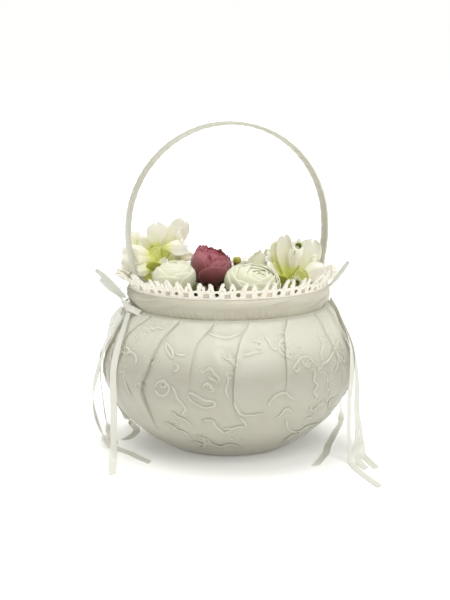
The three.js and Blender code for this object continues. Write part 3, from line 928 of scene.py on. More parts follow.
def band_surface():
    """The band's radii and heights, row by row, at angles round the neck."""
    outer = resample(profile_line(BAND_OUTSIDE, 0.25), 0.62)
    inner = resample(profile_line(BAND_INSIDE, 0.5), 2.6)
    profile = np.vstack([outer, inner])
    theta = circle(600)
    share = np.clip(np.arange(len(profile)) / (len(outer) - 1), 0, 1)[:, None]
    is_outer = (np.arange(len(profile)) < len(outer))[:, None]
    edge = np.sin(math.pi * share) ** 0.5 * is_outer
    gathers = ripple(11, 16, 90, 240)
    drift = ripple(12, 4, 2, 7)
    folds = ripple(13, 5, 5, 16)
    a = theta[None, :]
    lower = 1 - smooth(share, 0.3, 0.62)
    upper = smooth(share, 0.72, 0.95)
    out = 1.25 * gathers(a + 0.05 * share + 0.02 * drift(a)) * (lower + 0.35 * upper)
    out = out + band_folds(a, share)
    out = out + 0.5 * np.sin(share * 7.5 + 3.2 * drift(a)) * np.sin(math.pi * share)
    out = out + 0.45 * folds(a + 0.35 * share) * np.sin(math.pi * share)
    out = out * edge
    along = tangents(profile)
    normal = np.stack([along[:, 1], -along[:, 0]], axis=1)
    r = profile[:, :1] + normal[:, :1] * out
    z = profile[:, 1:] + normal[:, 1:] * out
    # the band dips at its left end, and its lower edge waves
    low_left = 0.5 * (1 + np.cos(a - math.radians(183)))
    z = z - 1.2 * low_left**4 * smooth(z, 118, 130) * is_outer
    z = z - (0.5 + 0.7 * folds(a)) * (1 - smooth(z, 116.4, 119.5)) * is_outer
    return r, z, theta


# Folds at the front of the band: where each starts and ends, as degrees and a share of the band's
# height, and its depth.
FRONT_FOLDS = (
    (270, 0.72, 288, 0.9, 1.0), (204, 0.3, 224, 0.8, 0.8), (236, 0.5, 262, 0.66, 0.5),
    (300, 0.3, 322, 0.75, 0.9),
)


def band_folds(theta, share):
    """Long soft creases where the rolled satin is pulled, in millimetres."""
    rng = np.random.default_rng(14)
    degree, height = 1.45, 18  # millimetres round the band, and up its face
    folds = list(FRONT_FOLDS)
    for start in range(-20, 190, 26):
        low = rng.uniform(0.3, 0.6)
        end = start + rng.uniform(14, 24)
        folds.append((start, low, end, rng.uniform(0.55, 0.9), rng.uniform(0.6, 1.0)))
    out = 0
    for first, low, last, high, depth in folds:
        x = ((np.degrees(theta) - first + 180) % 360 - 180) * degree
        y = (share - low) * height
        run = np.array([(last - first) * degree, (high - low) * height])
        along = np.clip((x * run[0] + y * run[1]) / (run @ run), 0, 1)
        away = np.hypot(x - along * run[0], y - along * run[1])
        side = np.sign(y * run[0] - x * run[1])
        fade = np.sin(math.pi * np.clip(along, 0.02, 0.98)) ** 0.6
        out = out + depth * fade * (0.9 * np.exp(-away / 2.4) * side - 0.6 * np.exp(-((away / 0.9) ** 2)))
    return out


def make_band():
    r, z, theta = band_surface()
    quads, spots = grid(*r.shape, wrap_rows=True, wrap_columns=True)
    band = build("neck_roll", level(r, theta, z).reshape(-1, 3), quads, BAND_SATIN, "band_satin",
                 replaces=["neck_band"], uv=spots * (0.88, 0.7))


# the band's lighter top colour is a painted highlight along its top edge, where the light falls
BAND_SATIN = satin("band_satin", rgb(198, 194, 175), rgb(184, 179, 160), rough=0.36, thread=0.3,
                   painted_top_highlight=rgb(226, 222, 204), rise=(0.126, 0.1345))
make_band()


# ---------------------------------------------------------------- lace
PERIODS = 31
NECK_RADIUS = 81
PERIOD = TAU * NECK_RADIUS / PERIODS
LACE_FOLD = (80.95, 133.6)
LACE_BEND = 7  # the height over which the lace bends outward, before it stays straight


def lace_lean(theta):
    """How far the lace's brim leans out from upright, in degrees."""
    back = 0.5 * (1 + np.cos(theta - math.radians(90)))
    side = np.abs(np.cos(theta))
    return 24 + 16 * side**2 + 46 * back**2


lace_waves = ripple(31, 4, 11, 24)
lace_small_waves = ripple(32, 5, 26, 52)


def lace_point(u, v, lift=0.0):
    """Points of the lace from its run round the neck and its height above the band, in mm."""
    u, v = np.broadcast_arrays(np.asarray(u, float), np.asarray(v, float))
    theta = u / NECK_RADIUS
    lean = np.radians(lace_lean(theta))
    rise = np.clip(v, 0, None)
    bend = lean * smooth(rise, 0, LACE_BEND)
    # over the bend the lace goes off at its mean lean there
    middle = lean * 0.5 * np.clip(rise / LACE_BEND, 0, 1)
    bent, straight = np.minimum(rise, LACE_BEND), np.maximum(rise - LACE_BEND, 0)
    r = LACE_FOLD[0] + np.sin(middle) * bent + np.sin(lean) * straight
    z = LACE_FOLD[1] + np.cos(middle) * bent + np.cos(lean) * straight
    side = np.abs(np.cos(theta)) ** 2
    wave = (0.9 + 2.2 * side) * lace_waves(theta) + (0.5 + 2.4 * side) * lace_small_waves(theta)
    wave = wave * smooth(rise, 0, 12)
    r = r + wave * np.cos(bend)
    z = z - wave * np.sin(bend) + np.minimum(v, 0)
    r = r + np.cos(bend) * lift
    z = z - np.sin(bend) * lift
    return level(r, theta, z)


def thicken(points, quads, offset):
    """A closed shell from an open sheet: its back lies at points + offset, with rims between."""
    n = len(points)
    a = quads.ravel()
    b = np.roll(quads, -1, axis=1).ravel()
    rim = ~np.isin(a.astype(np.int64) * n + b, b.astype(np.int64) * n + a)
    a, b = a[rim], b[rim]
    sides = np.stack([b, a, a + n, b + n], axis=1)
    return np.vstack([points, points + offset]), np.vstack([quads, quads[:, ::-1] + n, sides])


def compact(points, faces):
    """Only the points that the faces use."""
    used = np.unique(faces)
    place = np.zeros(len(points), int)
    place[used] = np.arange(len(used))
    return points[used], place[faces]


# Places and sizes in one period of the lace: an eyelet at its start and a window at its middle.
EYELET_HEIGHT = 3.9
EYELET_RADIUS = 2.05
WINDOW_HEIGHT = 3.0
# Two tall fingers lean apart beside each eyelet, and two short ones stand between them: the place
# along the period, lean, height and half width.
FINGERS = ((-2.5, -0.28, 8.4, 1.75), (2.4, 0.32, 8.8, 1.8), (6.2, -0.14, 5.6, 1.55), (10.0, 0.2, 6.0, 1.55))
GATHERED_FINGERS = (0.5, 3.6, 6.4, 9.6, 12.6, 15.0)
FINGER_ROWS = 13


def make_lace():
    net, panes = lace_ground()
    rng = np.random.default_rng(33)
    fingers = []
    for k in range(PERIODS):
        fingers += standing_fingers(k, rng)
        # the lace is gathered up in folds where it passes the feet of the handle
        if abs(math.cos(k * PERIOD / NECK_RADIUS)) > 0.8:
            fingers += gathered_fingers(k, rng)
    finger_points, finger_faces = tubes(fingers)
    loop_points, loop_faces = tubes(lace_loops(), closed=True)
    points = np.vstack([finger_points, loop_points])
    faces = finger_faces + [f + len(finger_points) for f in loop_faces]
    cords = build("lace_cords", points, faces, LACE_THREAD, "lace")
    build("lace_windows", *panes, LACE_TULLE, "lace")


def lace_ground():
    """The net with its eyelets, windows and lower holes cut out, and the windows' sheer panes."""
    per_period, rows = 26, 21
    u = np.arange(PERIODS * per_period) * PERIOD / per_period
    v = np.linspace(-8, 6.6, rows)
    points = lace_point(u[None, :], v[:, None], -0.25).reshape(-1, 3)
    offset = (lace_point(u[None, :], v[:, None], 0.25).reshape(-1, 3) - points)
    quads, _ = grid(rows, len(u), wrap_columns=True)
    middle_u = np.tile(u + PERIOD / per_period / 2, rows - 1)
    middle_v = np.repeat((v[:-1] + v[1:]) / 2, len(u))
    from_eyelet = (middle_u + PERIOD / 2) % PERIOD - PERIOD / 2
    from_window = (middle_u % PERIOD) - PERIOD / 2
    eyelet = from_eyelet**2 + (middle_v - EYELET_HEIGHT) ** 2 < EYELET_RADIUS**2
    window = (abs(from_window) < 2.55) & (abs(middle_v - WINDOW_HEIGHT) < 2.0)
    from_hole = (middle_u + 1.3) % (PERIOD / 4) - PERIOD / 8
    lower_hole = (from_hole**2 + (middle_v + 4) ** 2) < 0.9
    inward = lace_point(u[None, :], v[:, None], -1.0).reshape(-1, 3) - points
    panes = compact(*thicken(points + inward * 0.2, quads[window], offset * 0.4))
    net_points, net_quads = compact(*thicken(points, quads[~(eyelet | window | lower_hole)], offset))
    net = build("lace_net", net_points, net_quads, LACE_THREAD, "lace", replaces=["lace_trim"])
    return net, panes


def lace_loops():
    """The cords along the lace's two edges and round its eyelets and windows."""
    loops = []
    around = np.arange(0, PERIODS * PERIOD, 1.15)
    for height, radius, wave in ((6.6, 0.75, 0.25), (0.55, 0.55, 0.1)):
        v = height + wave * np.sin(TAU * around / PERIOD * 4)
        loops.append(sweep_ring(around, v, radius))
    a = np.linspace(0, TAU, 17)[:-1]
    for start in np.arange(PERIODS) * PERIOD:
        loops.append(sweep_ring(start + 2.15 * np.cos(a), EYELET_HEIGHT + 2.15 * np.sin(a), 0.55))
        box_u = np.clip(2.9 * np.cos(a) * 1.25, -2.65, 2.65)
        box_v = np.clip(2.2 * np.sin(a) * 1.3, -2.1, 2.1)
        loops.append(sweep_ring(start + PERIOD / 2 + box_u, WINDOW_HEIGHT + box_v, 0.5))
    return loops


def standing_fingers(k, rng):
    """The rings of the four fingers of one period."""
    t = np.linspace(0, 1, FINGER_ROWS)
    fingers = []
    for at, lean, tall, wide in FINGERS:
        place = k * PERIOD + at
        end = abs(math.cos(place / NECK_RADIUS)) ** 3
        tall = tall * (1 + rng.uniform(-0.16, 0.16) + 0.25 * end)
        lean = lean + rng.uniform(-0.16, 0.16) * (1 + end)
        wide = wide * rng.uniform(0.82, 1.12)
        sway = 0.35 * np.sin(2.6 * t + k + at)
        round_end = np.sqrt(np.clip(1 - ((t - 0.72) / 0.285) ** 2, 0.004, 1))
        half = wide * np.where(t > 0.72, round_end, 0.72 + 0.28 * smooth(t, 0.15, 0.72))
        half = half * (1 + 0.06 * np.sin(9 * t + 2 * k + at))
        fingers.append(lace_finger(place + lean * tall * t + sway, 5.9 + tall * t, half))
    return fingers


def gathered_fingers(k, rng):
    """The rings of the folded lace of one period, as crowded extra fingers."""
    t = np.linspace(0, 1, FINGER_ROWS)
    fingers = []
    for at in GATHERED_FINGERS:
        tall, lean = rng.uniform(6, 10), rng.uniform(-0.6, 0.6)
        sway = 0.7 * np.sin(5 * t + at)
        half = rng.uniform(0.9, 1.5) * np.sqrt(np.clip(1 - ((t - 0.5) / 0.56) ** 4, 0.004, 1))
        fingers.append(lace_finger(k * PERIOD + at + lean * tall * t + sway, 4.5 + tall * t, half))
    return fingers


def sweep_ring(u, v, radius):
    """A closed tube on the lace."""
    line = lace_point(u, v)
    return sweep_closed(line, lace_point(u, v, 1.0) - line, round_section(radius))


def lace_finger(u, v, half):
    """A flat solid finger that stands up from the lace, with a rounded tip."""
    line = lace_point(u, v)
    thick = np.minimum(half, 0.85)
    section = round_section(1.0, sides=10)[None] * np.stack([half, thick], axis=1)[:, None, :]
    return sweep(line, lace_point(u, v, 1.0) - line, section)


def lace_thread():
    """Off-white corded thread, which gives off a little painted light of its own."""
    p = Paint("lace_thread")
    place = p.place()
    fibre = p.noise(p.stretch(place, 1, 1, 3.5), 1500.0, 3.0, 0.7)
    cells = p.cells(place, 1100.0)
    patch = p.noise(place, 60.0, 2.0)
    colour = p.mix(patch, rgb(252, 249, 238), rgb(243, 238, 224))
    colour = p.mix(p.math("MULTIPLY", fibre, 0.25), colour, rgb(226, 217, 200))
    height = p.math("ADD", fibre, cells)
    # the emission is painted light, lifting the thread where it lies in shade
    p.set(Base_Color=colour, Roughness=p.math("MULTIPLY_ADD", fibre, 0.2, 0.62), Sheen_Weight=0.3,
          Emission_Color=colour, Emission_Strength=0.06, Normal=p.bump(height, 0.00018))
    return p.material


def lace_tulle():
    """The sheer net behind the windows of the lace."""
    p = Paint("lace_tulle")
    place = p.place()
    cells = p.cells(place, 1500.0)
    p.set(Base_Color=p.mix(cells, rgb(246, 234, 224), rgb(234, 216, 204)), Roughness=0.7,
          Alpha=p.math("MULTIPLY_ADD", cells, -0.3, 0.72), Normal=p.bump(cells, 0.0001))
    return p.material


LACE_THREAD = lace_thread()
LACE_TULLE = lace_tulle()
make_lace()


# ---------------------------------------------------------------- lining and wadding
SHOULDER = 0.79  # the share of the bowl's profile that lies below its shoulder


def side_layer(depth, step=4.0):
    """The bowl's profile `depth` millimetres inside its outside, up to the shoulder."""
    run = np.arange(0, SHOULDER * side_run[-1], step)
    at = np.stack([np.interp(run, side_run, side_table[:, k]) for k in (0, 1)], axis=1)
    along = np.stack([np.interp(run, side_run, side_tangent[:, k]) for k in (0, 1)], axis=1)
    return at + np.stack([-along[:, 1], along[:, 0]], axis=1) * depth


LINING_DEPTH = 7.3
LINING_THICKNESS = 0.5
LINING_FLOOR = [(2.0, 5.2), (14, 5.2), (28, 5.2), (40, 5.3)]
LINING_NECK = [
    (84.2, 96.3), (80, 98.2), (75.5, 99.3), (70.5, 100.6), (68, 103.5), (67.5, 108), (67.4, 116),
    (67.4, 123), (67.7, 126.0), (69.4, 126.95), (71.4, 126.9),
]


def make_lining():
    profile = np.vstack([LINING_FLOOR, side_layer(LINING_DEPTH), LINING_NECK])
    profile = resample(profile_line(profile, 0.5), 2.2)
    theta = circle(300)
    gathers, puffs = ripple(51, 12, 40, 110), ripple(52, 5, 9, 24)
    r, z = profile[:, :1], profile[:, 1:]
    in_neck = smooth(z, 60, 110)
    in_bowl = smooth(z, 8, 60) * (1 - smooth(z, 96, 106))
    wave = 0.5 * gathers(theta + 0.002 * z) * in_neck + 0.8 * puffs(theta) * in_bowl
    wave = np.minimum(wave * (1 - smooth(z, 125.5, 126.9)), 0.35)
    quads, _ = grid(len(profile), len(theta), wrap_columns=True)
    along = tangents(profile)
    offset = level(-along[:, 1:], theta, along[:, :1]).reshape(-1, 3) * LINING_THICKNESS
    points, quads = thicken(level(r + wave, theta, z).reshape(-1, 3), quads, offset)
    lining = build("satin_lining", points, quads, LINING_SATIN, "lining_satin", replaces=["lining"])


WADDING_DEPTHS = (2.5, 4.2)


def make_wadding():
    outer, inner = (side_layer(depth, step=3.0) for depth in WADDING_DEPTHS)
    profile = np.vstack([outer, inner[::-1]])
    theta = circle(240)
    lumps, tufts = ripple(61, 6, 7, 19), ripple(62, 8, 40, 90)
    share = np.arange(len(profile))[:, None] / len(outer)
    swell = 0.45 * lumps(theta + 1.5 * share) + 0.22 * tufts(theta + 4 * share)
    is_outer = (share < 1).astype(float)
    r = profile[:, :1] - (1 - is_outer) * swell * 0.6 + is_outer * (swell - 0.3)
    quads, _ = grid(*np.broadcast(r, theta).shape, wrap_rows=True, wrap_columns=True)
    points = level(r, theta, profile[:, 1:]).reshape(-1, 3)
    wadding = build("wadding_batt", points, quads, wadding_fibre(), "wadding", replaces=["wadding"])


def wadding_fibre():
    p = Paint("wadding_fibre")
    place = p.place()
    fibre = p.noise(p.stretch(place, 1, 1, 0.4), 700.0, 4.0, 0.7)
    p.set(Base_Color=p.mix(fibre, rgb(250, 249, 245), rgb(228, 226, 218)), Roughness=0.95,
          Normal=p.bump(fibre, 0.0006))
    return p.material


LINING_SATIN = satin("lining_satin", rgb(238, 230, 214), rgb(220, 208, 188), rough=0.42)
make_lining()
make_wadding()


# ---------------------------------------------------------------- handle
HOOP_STEP = 0.75
HOOP_MIDDLE = (0.6, 180)
HOOP_RADII = (85.6, 84.7)


def hoop_line():
    foot = [(73.4, 105.2), (73.4, 112), (73.4, 118)]
    left = foot + [(74, 128), (78, 140), (81.8, 154), (84.2, 167)]
    right = foot + [(75, 127), (79.6, 139), (83.4, 150), (85.8, 165)]
    arch = []
    for degrees in range(180, -1, -12):
        a = math.radians(degrees)
        x = HOOP_MIDDLE[0] + HOOP_RADII[0] * math.cos(a)
        arch.append((x, HOOP_MIDDLE[1] + HOOP_RADII[1] * math.sin(a)))
    outline = [(-x, z) for x, z in left] + arch + right[::-1]
    return catmull([(x, 0, z) for x, z in outline], HOOP_STEP)


def rounded_box(width, thickness, sides):
    """A section between an ellipse and a box, and the angle of each of its points."""
    power = 4.0
    a = circle(sides)
    c, s = np.cos(a), np.sin(a)
    r = (np.abs(c) ** power + np.abs(s) ** power) ** (-1 / power)
    return np.stack([r * c * width / 2, r * s * thickness / 2], axis=1), a


WRAP_PITCH = 9.5


def make_wrap():
    """Ribbon wound round the strap in slanted turns, each lapping the one below."""
    line = hoop_line()
    along = tangents(line)
    normal = np.cross(along, np.array([0, 1.0, 0]))
    section, a = rounded_box(11.0, 2.1, 30)
    run = np.arange(len(line)) * HOOP_STEP
    ends = smooth(run, 0, 4) * (1 - smooth(run, run[-1] - 4, run[-1]))
    slack = ripple(71, 6, 20, 60)
    drift = slack(run / run[-1] * TAU)
    phase = run[:, None] / WRAP_PITCH - a[None, :] / TAU + 0.10 * drift[:, None]
    turn_share = phase % 1.0
    lap = 0.34 * (1 - turn_share) ** 0.7
    pucker = 0.16 * np.sin(turn_share * TAU * 3 + 5 * drift[:, None]) * np.exp(-turn_share * 4)
    grow = (lap + pucker + 0.1 * slack(run / run[-1] * TAU + 2)[:, None]) * ends[:, None]
    away = unit(np.stack([section[:, 0] * 0.25, section[:, 1] * 4], axis=1))
    outer = section[None] + away[None] * grow[..., None]
    inner, _ = rounded_box(9.8, 1.7, 30)
    outer_rings = sweep(line, normal, outer)
    inner_rings = sweep(line, normal, inner)[::-1]
    rings = np.concatenate([outer_rings, inner_rings])
    quads, spots = grid(len(rings), len(a), wrap_rows=True, wrap_columns=True)
    # the threads of the wound ribbon run along its turns
    turns = spots[:, 0] / len(a) * WRAP_PITCH
    uv = np.stack([spots[:, 1] * HOOP_STEP - turns, spots[:, 0] * 0.9], axis=1)
    build("handle_ribbon_wrap", rings.reshape(-1, 3), quads, WRAP_SATIN, "wrap_satin",
          replaces=["handle_wrap"], uv=uv)


# the wrap satin gives off a little painted light of its own, lifting its shaded faces
WRAP_SATIN = satin("wrap_satin", rgb(216, 215, 200), rgb(196, 194, 174), rough=0.33, thread=0.25, painted_glow=0.04)
make_wrap()


# ---------------------------------------------------------------- bows
BOW_THICKNESS = 0.3


def ribbon_rings(line, normal, widths):
    """Rings of a flat ribbon of changing width, with woven edges."""
    x = np.array([-1, -0.93, -0.5, 0, 0.5, 0.93, 1])
    t = BOW_THICKNESS / 2 * np.where(abs(x) > 0.9, 1.5, 1.0)
    section = np.vstack([np.stack([x, t], axis=1), np.stack([x, -t], axis=1)[::-1]])
    sections = np.repeat(section[None], len(line), axis=0)
    sections[..., 0] *= np.asarray(widths)[:, None] / 2
    return sweep(line, normal, sections)


def make_loop(side, which, start, tip, across):
    """A leaf-shaped loop of sheer ribbon, pinched at the knot and fullest past its middle."""
    start, tip = np.array(start), np.array(tip)
    length = np.linalg.norm(tip - start)
    x = unit(tip - start)
    y = unit(np.cross(np.array(across), x))
    z = np.cross(x, y)
    angle = np.linspace(0, 1, 61) * TAU
    along = (1 - np.cos(angle)) / 2 * length
    bulge = np.sin(angle) * 1.4 * (0.35 + 0.65 * smooth(along / length, 0, 0.7))
    sway = 0.8 * np.sin(angle * 1.5 + (0.6 if which == "front" else 2.0))
    line = start + x * along[:, None] + y * bulge[:, None] + z * sway[:, None]
    width = 2.0 + 1.7 * smooth(along / length, 0.02, 0.5) - 1.0 * smooth(along / length, 0.7, 1)
    flow = tangents(line)
    normal = np.cross(flow, np.broadcast_to(z, flow.shape))
    points, faces = tubes([ribbon_rings(line, normal, width)])
    build(f"{side}_bow_{which}", points, faces, SHEER_RIBBON, "ribbon",
          replaces=[f"{side}_bow_loop_{which}"])


KNOT_SECTION = np.array([
    (-1, -0.25), (-0.5, 0.12), (0, 0.35), (0.5, 0.12), (1, -0.25), (0.5, -0.5), (0, -0.35), (-0.5, -0.5),
])
# The ribbons wrapped round the knot: tilt in radians, width, and the wrap's depth and height.
KNOT_WRAPS = ((0.0, 4.6, (2.0, 3.4)), (0.75, 3.6, (1.6, 4.7)), (-0.7, 3.4, (1.5, 4.8)))


def knot_wrap(centre, out, x, tilt, width, size):
    """One ribbon round the knot, tilted about the way out from the basket."""
    a = np.linspace(0, TAU, 37)[:-1]
    ring = np.stack([size[0] * np.cos(a), 0.5 * np.sin(2 * a + tilt), size[1] * np.sin(a)], axis=1)
    c, s = math.cos(tilt), math.sin(tilt)
    back, up = ring[:, 1] * c - ring[:, 2] * s, ring[:, 1] * s + ring[:, 2] * c
    line = centre + np.stack([ring[:, 0] * x, back, up], axis=1) + out * (0.35 if tilt == 0 else 0)
    return sweep_closed(line, line - centre, KNOT_SECTION * (width / 2, 1))


def knot_end(centre, out, x, sign, reach, drop):
    """A short end that comes out from under the knot, to the front (-1) or the back (1)."""
    t = np.linspace(0, 1, 15)
    bow = 1.0 + 1.6 * np.sin(t * math.pi)
    middle = centre + np.stack([x * bow, sign * t * reach, 0 * t], axis=1)
    middle = middle + np.array([0, 0, drop]) * (t**1.3)[:, None] - out * (3.2 * t**2)[:, None]
    normal = np.broadcast_to(out, middle.shape) + np.array([0, 0.4 * sign, 0.3])
    return ribbon_rings(middle, normal, 2.4 + 4.2 * smooth(t, 0, 0.7))


def make_knot(side, x):
    """A tight knot: a band wrapped over two crossing ones, with two short ends tucked under it."""
    centre = np.array([x * 86.2, 0, 120.5])
    out = np.array([x, 0, 0.0])
    points, faces = tubes([knot_wrap(centre, out, x, *wrap) for wrap in KNOT_WRAPS], closed=True)
    ends = [knot_end(centre, out, x, -1, 9.5, -2.8), knot_end(centre, out, x, 1, 7.5, 1.5)]
    end_points, end_faces = tubes(ends)
    faces = faces + [f + len(points) for f in end_faces]
    build(f"{side}_bow_tie", np.vstack([points, end_points]), faces, RIBBON_SATIN, "ribbon",
          replaces=[f"{side}_bow_knot"])


# The flap's route: radius, degrees towards the back, height.
FLAP_ROUTE = [(88.5, 17, 132), (88, 8, 127.5), (86.9, 0, 122), (84.6, -7, 118.6), (82.4, -12, 116.8)]


def make_flap(side, x):
    """A folded end of the bow's ribbon that lies against the neck beside the knot."""
    radius, degrees, height = np.array(FLAP_ROUTE).T
    line = catmull(level(radius, np.radians(degrees), height) * (x, 1, 1), 0.8)
    share = np.linspace(0, 1, len(line))
    line = line + unit(line * (1, 1, 0)) * (2.2 * np.sin(share * math.pi))[:, None]
    normal = unit(line * (1, 1, 0)) + np.array([0, 0, 0.5])
    normal = turn(normal, tangents(line), 0.5 * np.sin(share * 5))
    width = 5.6 - 2.2 * np.exp(-(((share - 0.55) / 0.16) ** 2))
    points, faces = tubes([ribbon_rings(line, normal, width)])
    build(f"{side}_bow_flap", points, faces, RIBBON_SATIN, "ribbon")


# the sheer ribbon gives off a little painted light of its own, lifting its shaded faces
SHEER_RIBBON = satin("sheer_ribbon", rgb(234, 236, 229), rgb(220, 222, 214), rough=0.32, thread=0.25,
                     translucent=0.45, painted_glow=0.04)
# The bows' loops: side, which, the foot at the knot, the tip, and a direction across the ribbon.
LOOPS = [
    ("left", "front", (-89.4, -3.8, 127.4), (-113, -6.5, 152), (0.7, 0, 0.7)),
    ("left", "back", (-89.4, 4.6, 126.6), (-106, 10, 141), (0.7, 0, 0.7)),
    ("right", "front", (89.4, -4.2, 127.4), (105.4, -8, 147), (0.9, 0.3, -0.5)),
    ("right", "back", (89.4, 5.6, 127), (93.5, 27, 143), (0.34, -0.3, 0.7)),
]
for loop in LOOPS:
    make_loop(*loop)
for knot_side, knot_x in (("left", -1), ("right", 1)):
    make_knot(knot_side, knot_x)
    make_flap(knot_side, knot_x)


# ---------------------------------------------------------------- petals
def grid_normals(points):
    """Unit normals of a grid of points."""
    du = np.gradient(points, axis=1)
    dv = np.gradient(points, axis=0)
    return unit(np.cross(du, dv))


class Bunch:
    """Petals gathered into one mesh, each a thin closed shell."""

    def __init__(self, thickness=0.4):
        self.thickness = thickness
        self.points, self.faces, self.tints, self.count = [], [], [], 0

    def add(self, points, tint):
        rows, columns = points.shape[:2]
        normal = grid_normals(points).reshape(-1, 3)
        quads, _ = grid(rows, columns)
        flat = points.reshape(-1, 3)
        shell, faces = thicken(flat, quads, -normal * self.thickness)
        tint = np.broadcast_to(tint, (rows, columns)).ravel()
        self.append(shell, faces, np.concatenate([tint, tint]))

    def append(self, points, faces, tint):
        self.points.append(points)
        self.faces.append(faces + self.count)
        self.tints.append(tint)
        self.count += len(points)

    def tube(self, line, radius, tint, sides=6):
        """A round stalk along a line, drawn in almost to a point at each end."""
        near = ends_near(len(line))
        taper = np.where(near == 0, 0.05, np.where(near == 1, 0.8, 1.0))
        radii = np.broadcast_to(radius, len(line)) * taper
        section = round_section(1.0, sides)[None] * radii[:, None, None]
        along = tangents(line)
        pick = np.array([0.31, 0.95, 0.1]) if abs(along[0, 1]) < 0.9 else np.array([1.0, 0, 0])
        rings = sweep(line, np.broadcast_to(pick, line.shape), section)
        quads, _ = grid(len(line), sides, wrap_columns=True)
        self.append(rings.reshape(-1, 3), quads, np.full(len(line) * sides, tint))

    def build(self, name, material, slot, place, replaces=()):
        points = np.vstack(self.points) @ place.matrix.T + place.origin
        return build(name, points, np.vstack(self.faces), material, slot, body=place.body,
                     replaces=replaces, tint=np.concatenate(self.tints))


# Where a bunch goes: the turn of its own axes, its origin and the body that it rides on.
Place = namedtuple("Place", "matrix origin body")


def stand_up(axis):
    """The turn that takes +Z to a unit axis."""
    v = np.cross([0, 0, 1.0], axis)
    k = np.array([[0, -v[2], v[1]], [v[2], 0, -v[0]], [-v[1], v[0], 0]])
    return np.eye(3) + k + k @ k / (1 + axis[2])


def stem_run(centre):
    """From the point that all the stems fan out from to a flower's centre."""
    return np.array(centre, float) + (0, 0, FAN_DEPTH)


def flower_place(name, centre):
    """A flower's place; its own +Z runs along its stem."""
    body = name if name.endswith("pick") else name + "_pick"
    return Place(stand_up(unit(stem_run(centre))), np.array(centre, float), body)


def lean_turn(towards, angle):
    """The turn that tips a flower's own axis by an angle, towards a bearing on the flower."""
    bearing, angle = math.radians(towards), math.radians(angle)
    axis = np.array([-math.sin(bearing), math.cos(bearing), 0])
    return np.array([turn(v, axis, angle) for v in np.eye(3)])


def globe_way(polar, spread):
    """Directions at angles from the stem and round it."""
    return level(np.sin(polar), spread, -np.cos(polar))


def cupped_petal(radii, layer, azimuth, half_width, low, high, flare=0.0, ruffle=0.0, rng=None,
                 rows=17, columns=15, lean=np.eye(3), rise=0.0):
    """A petal that hugs a globe, from an angle above the stem to a rounded tip.

    `rise` draws its upper part up. The second result is each point's share of the way up."""
    v = np.linspace(0, 1, rows)[:, None]
    u = np.linspace(-1, 1, columns)[None, :]
    round_tip = 1 - np.sqrt(1 - (0.96 * u) ** 2)
    reach = high - (high - low) * 0.3 * round_tip
    polar = np.radians(low + (reach - low) * v)
    # narrow at the foot, full half way up and a little narrower at the tip
    fullness = 0.5 + 0.5 * np.sin(np.clip(v / 0.55, 0, 1) * math.pi / 2) - 0.12 * smooth(v, 0.7, 1.0)
    spread = np.radians(azimuth + half_width * fullness * u)
    phase = rng.uniform(0, TAU, 3)
    wave = np.sin(u * 5.5 + phase[0]) * 0.6 + np.sin(u * 9 + phase[1]) * 0.4
    top = smooth(v, 0.55, 1.0)
    edge = smooth(np.abs(u), 0.6, 1.0) * np.sin(v * math.pi)
    size = layer * (1 + 0.02 * edge + flare * top**2 + ruffle * wave * top**1.5)
    size = size * (1 + 0.012 * np.sin(7 * v + phase[2]) * np.cos(4 * u))
    spots = globe_way(polar, spread) @ lean * size[..., None] * radii
    spots[..., 2] *= np.where(spots[..., 2] > 0, 1 + rise, 1)
    return spots, v + 0 * u


def closing_cap(bunch, radii, layer, lean):
    """The closed heart of a flower, seen between its petals."""
    polar = np.radians(np.linspace(90, 179.5, 12))[:, None]
    spread = np.linspace(0, TAU, 33)[None, :]
    bunch.add(globe_way(polar, spread) @ lean * layer * radii, 0.35)


PETAL_RUFFLE = 0.4
PETAL_BLUNTNESS = 2.5


def free_petal(base, tip, face, width, cup=0.16, bend=0.12, rng=None, rows=14, columns=13):
    """A petal from base to tip whose broad side looks along `face`.

    The second result is each point's share of the way to the tip."""
    base, tip = np.array(base, float), np.array(tip, float)
    along = tip - base
    length = np.linalg.norm(along)
    x = along / length
    n = unit(np.array(face, float) - np.dot(face, x) * x)
    side = np.cross(x, n)
    v = np.linspace(0, 1, rows)[:, None]
    u = np.linspace(-1, 1, columns)[None, :]
    # the outline: a narrow foot, full past the middle, with a blunt round tip
    rounding = (1 - np.clip((v - 0.6) / 0.405, 0, 1) ** PETAL_BLUNTNESS) ** (1 / PETAL_BLUNTNESS)
    half = width / 2 * (0.26 + 0.74 * smooth(v, 0.0, 0.6)) * rounding
    phase = rng.uniform(0, TAU, 3)
    lift = cup * width * (u**2) * half / (width / 2)
    lift = lift + bend * length * (v * (1 - v) * -2.2 + 0.35 * v**3)
    wave = np.sin(v * 9 + phase[0] + 2 * u) + 0.6 * np.sin(v * 15 + phase[1])
    lift = lift + PETAL_RUFFLE * wave * np.abs(u) ** 2 * smooth(v, 0.1, 0.5)
    lift = lift + 0.035 * width * np.sin(4.2 * u + phase[2]) * smooth(v, 0.2, 0.8)
    # a shallow notch in the tip, and a groove down the middle
    notch = 1 - (0.05 * np.exp(-((u / 0.3) ** 2)) + 0.03 * np.sin(5 * u + phase[0])) * smooth(v, 0.8, 1)
    lift = lift - 0.35 * np.exp(-((u / 0.10) ** 2)) * np.sin(math.pi * np.clip(v * 1.1, 0, 1))
    points = (base + x * (v * notch * length)[..., None] + side * (u * half)[..., None]
              + n * lift[..., None])
    return points, v + 0 * u


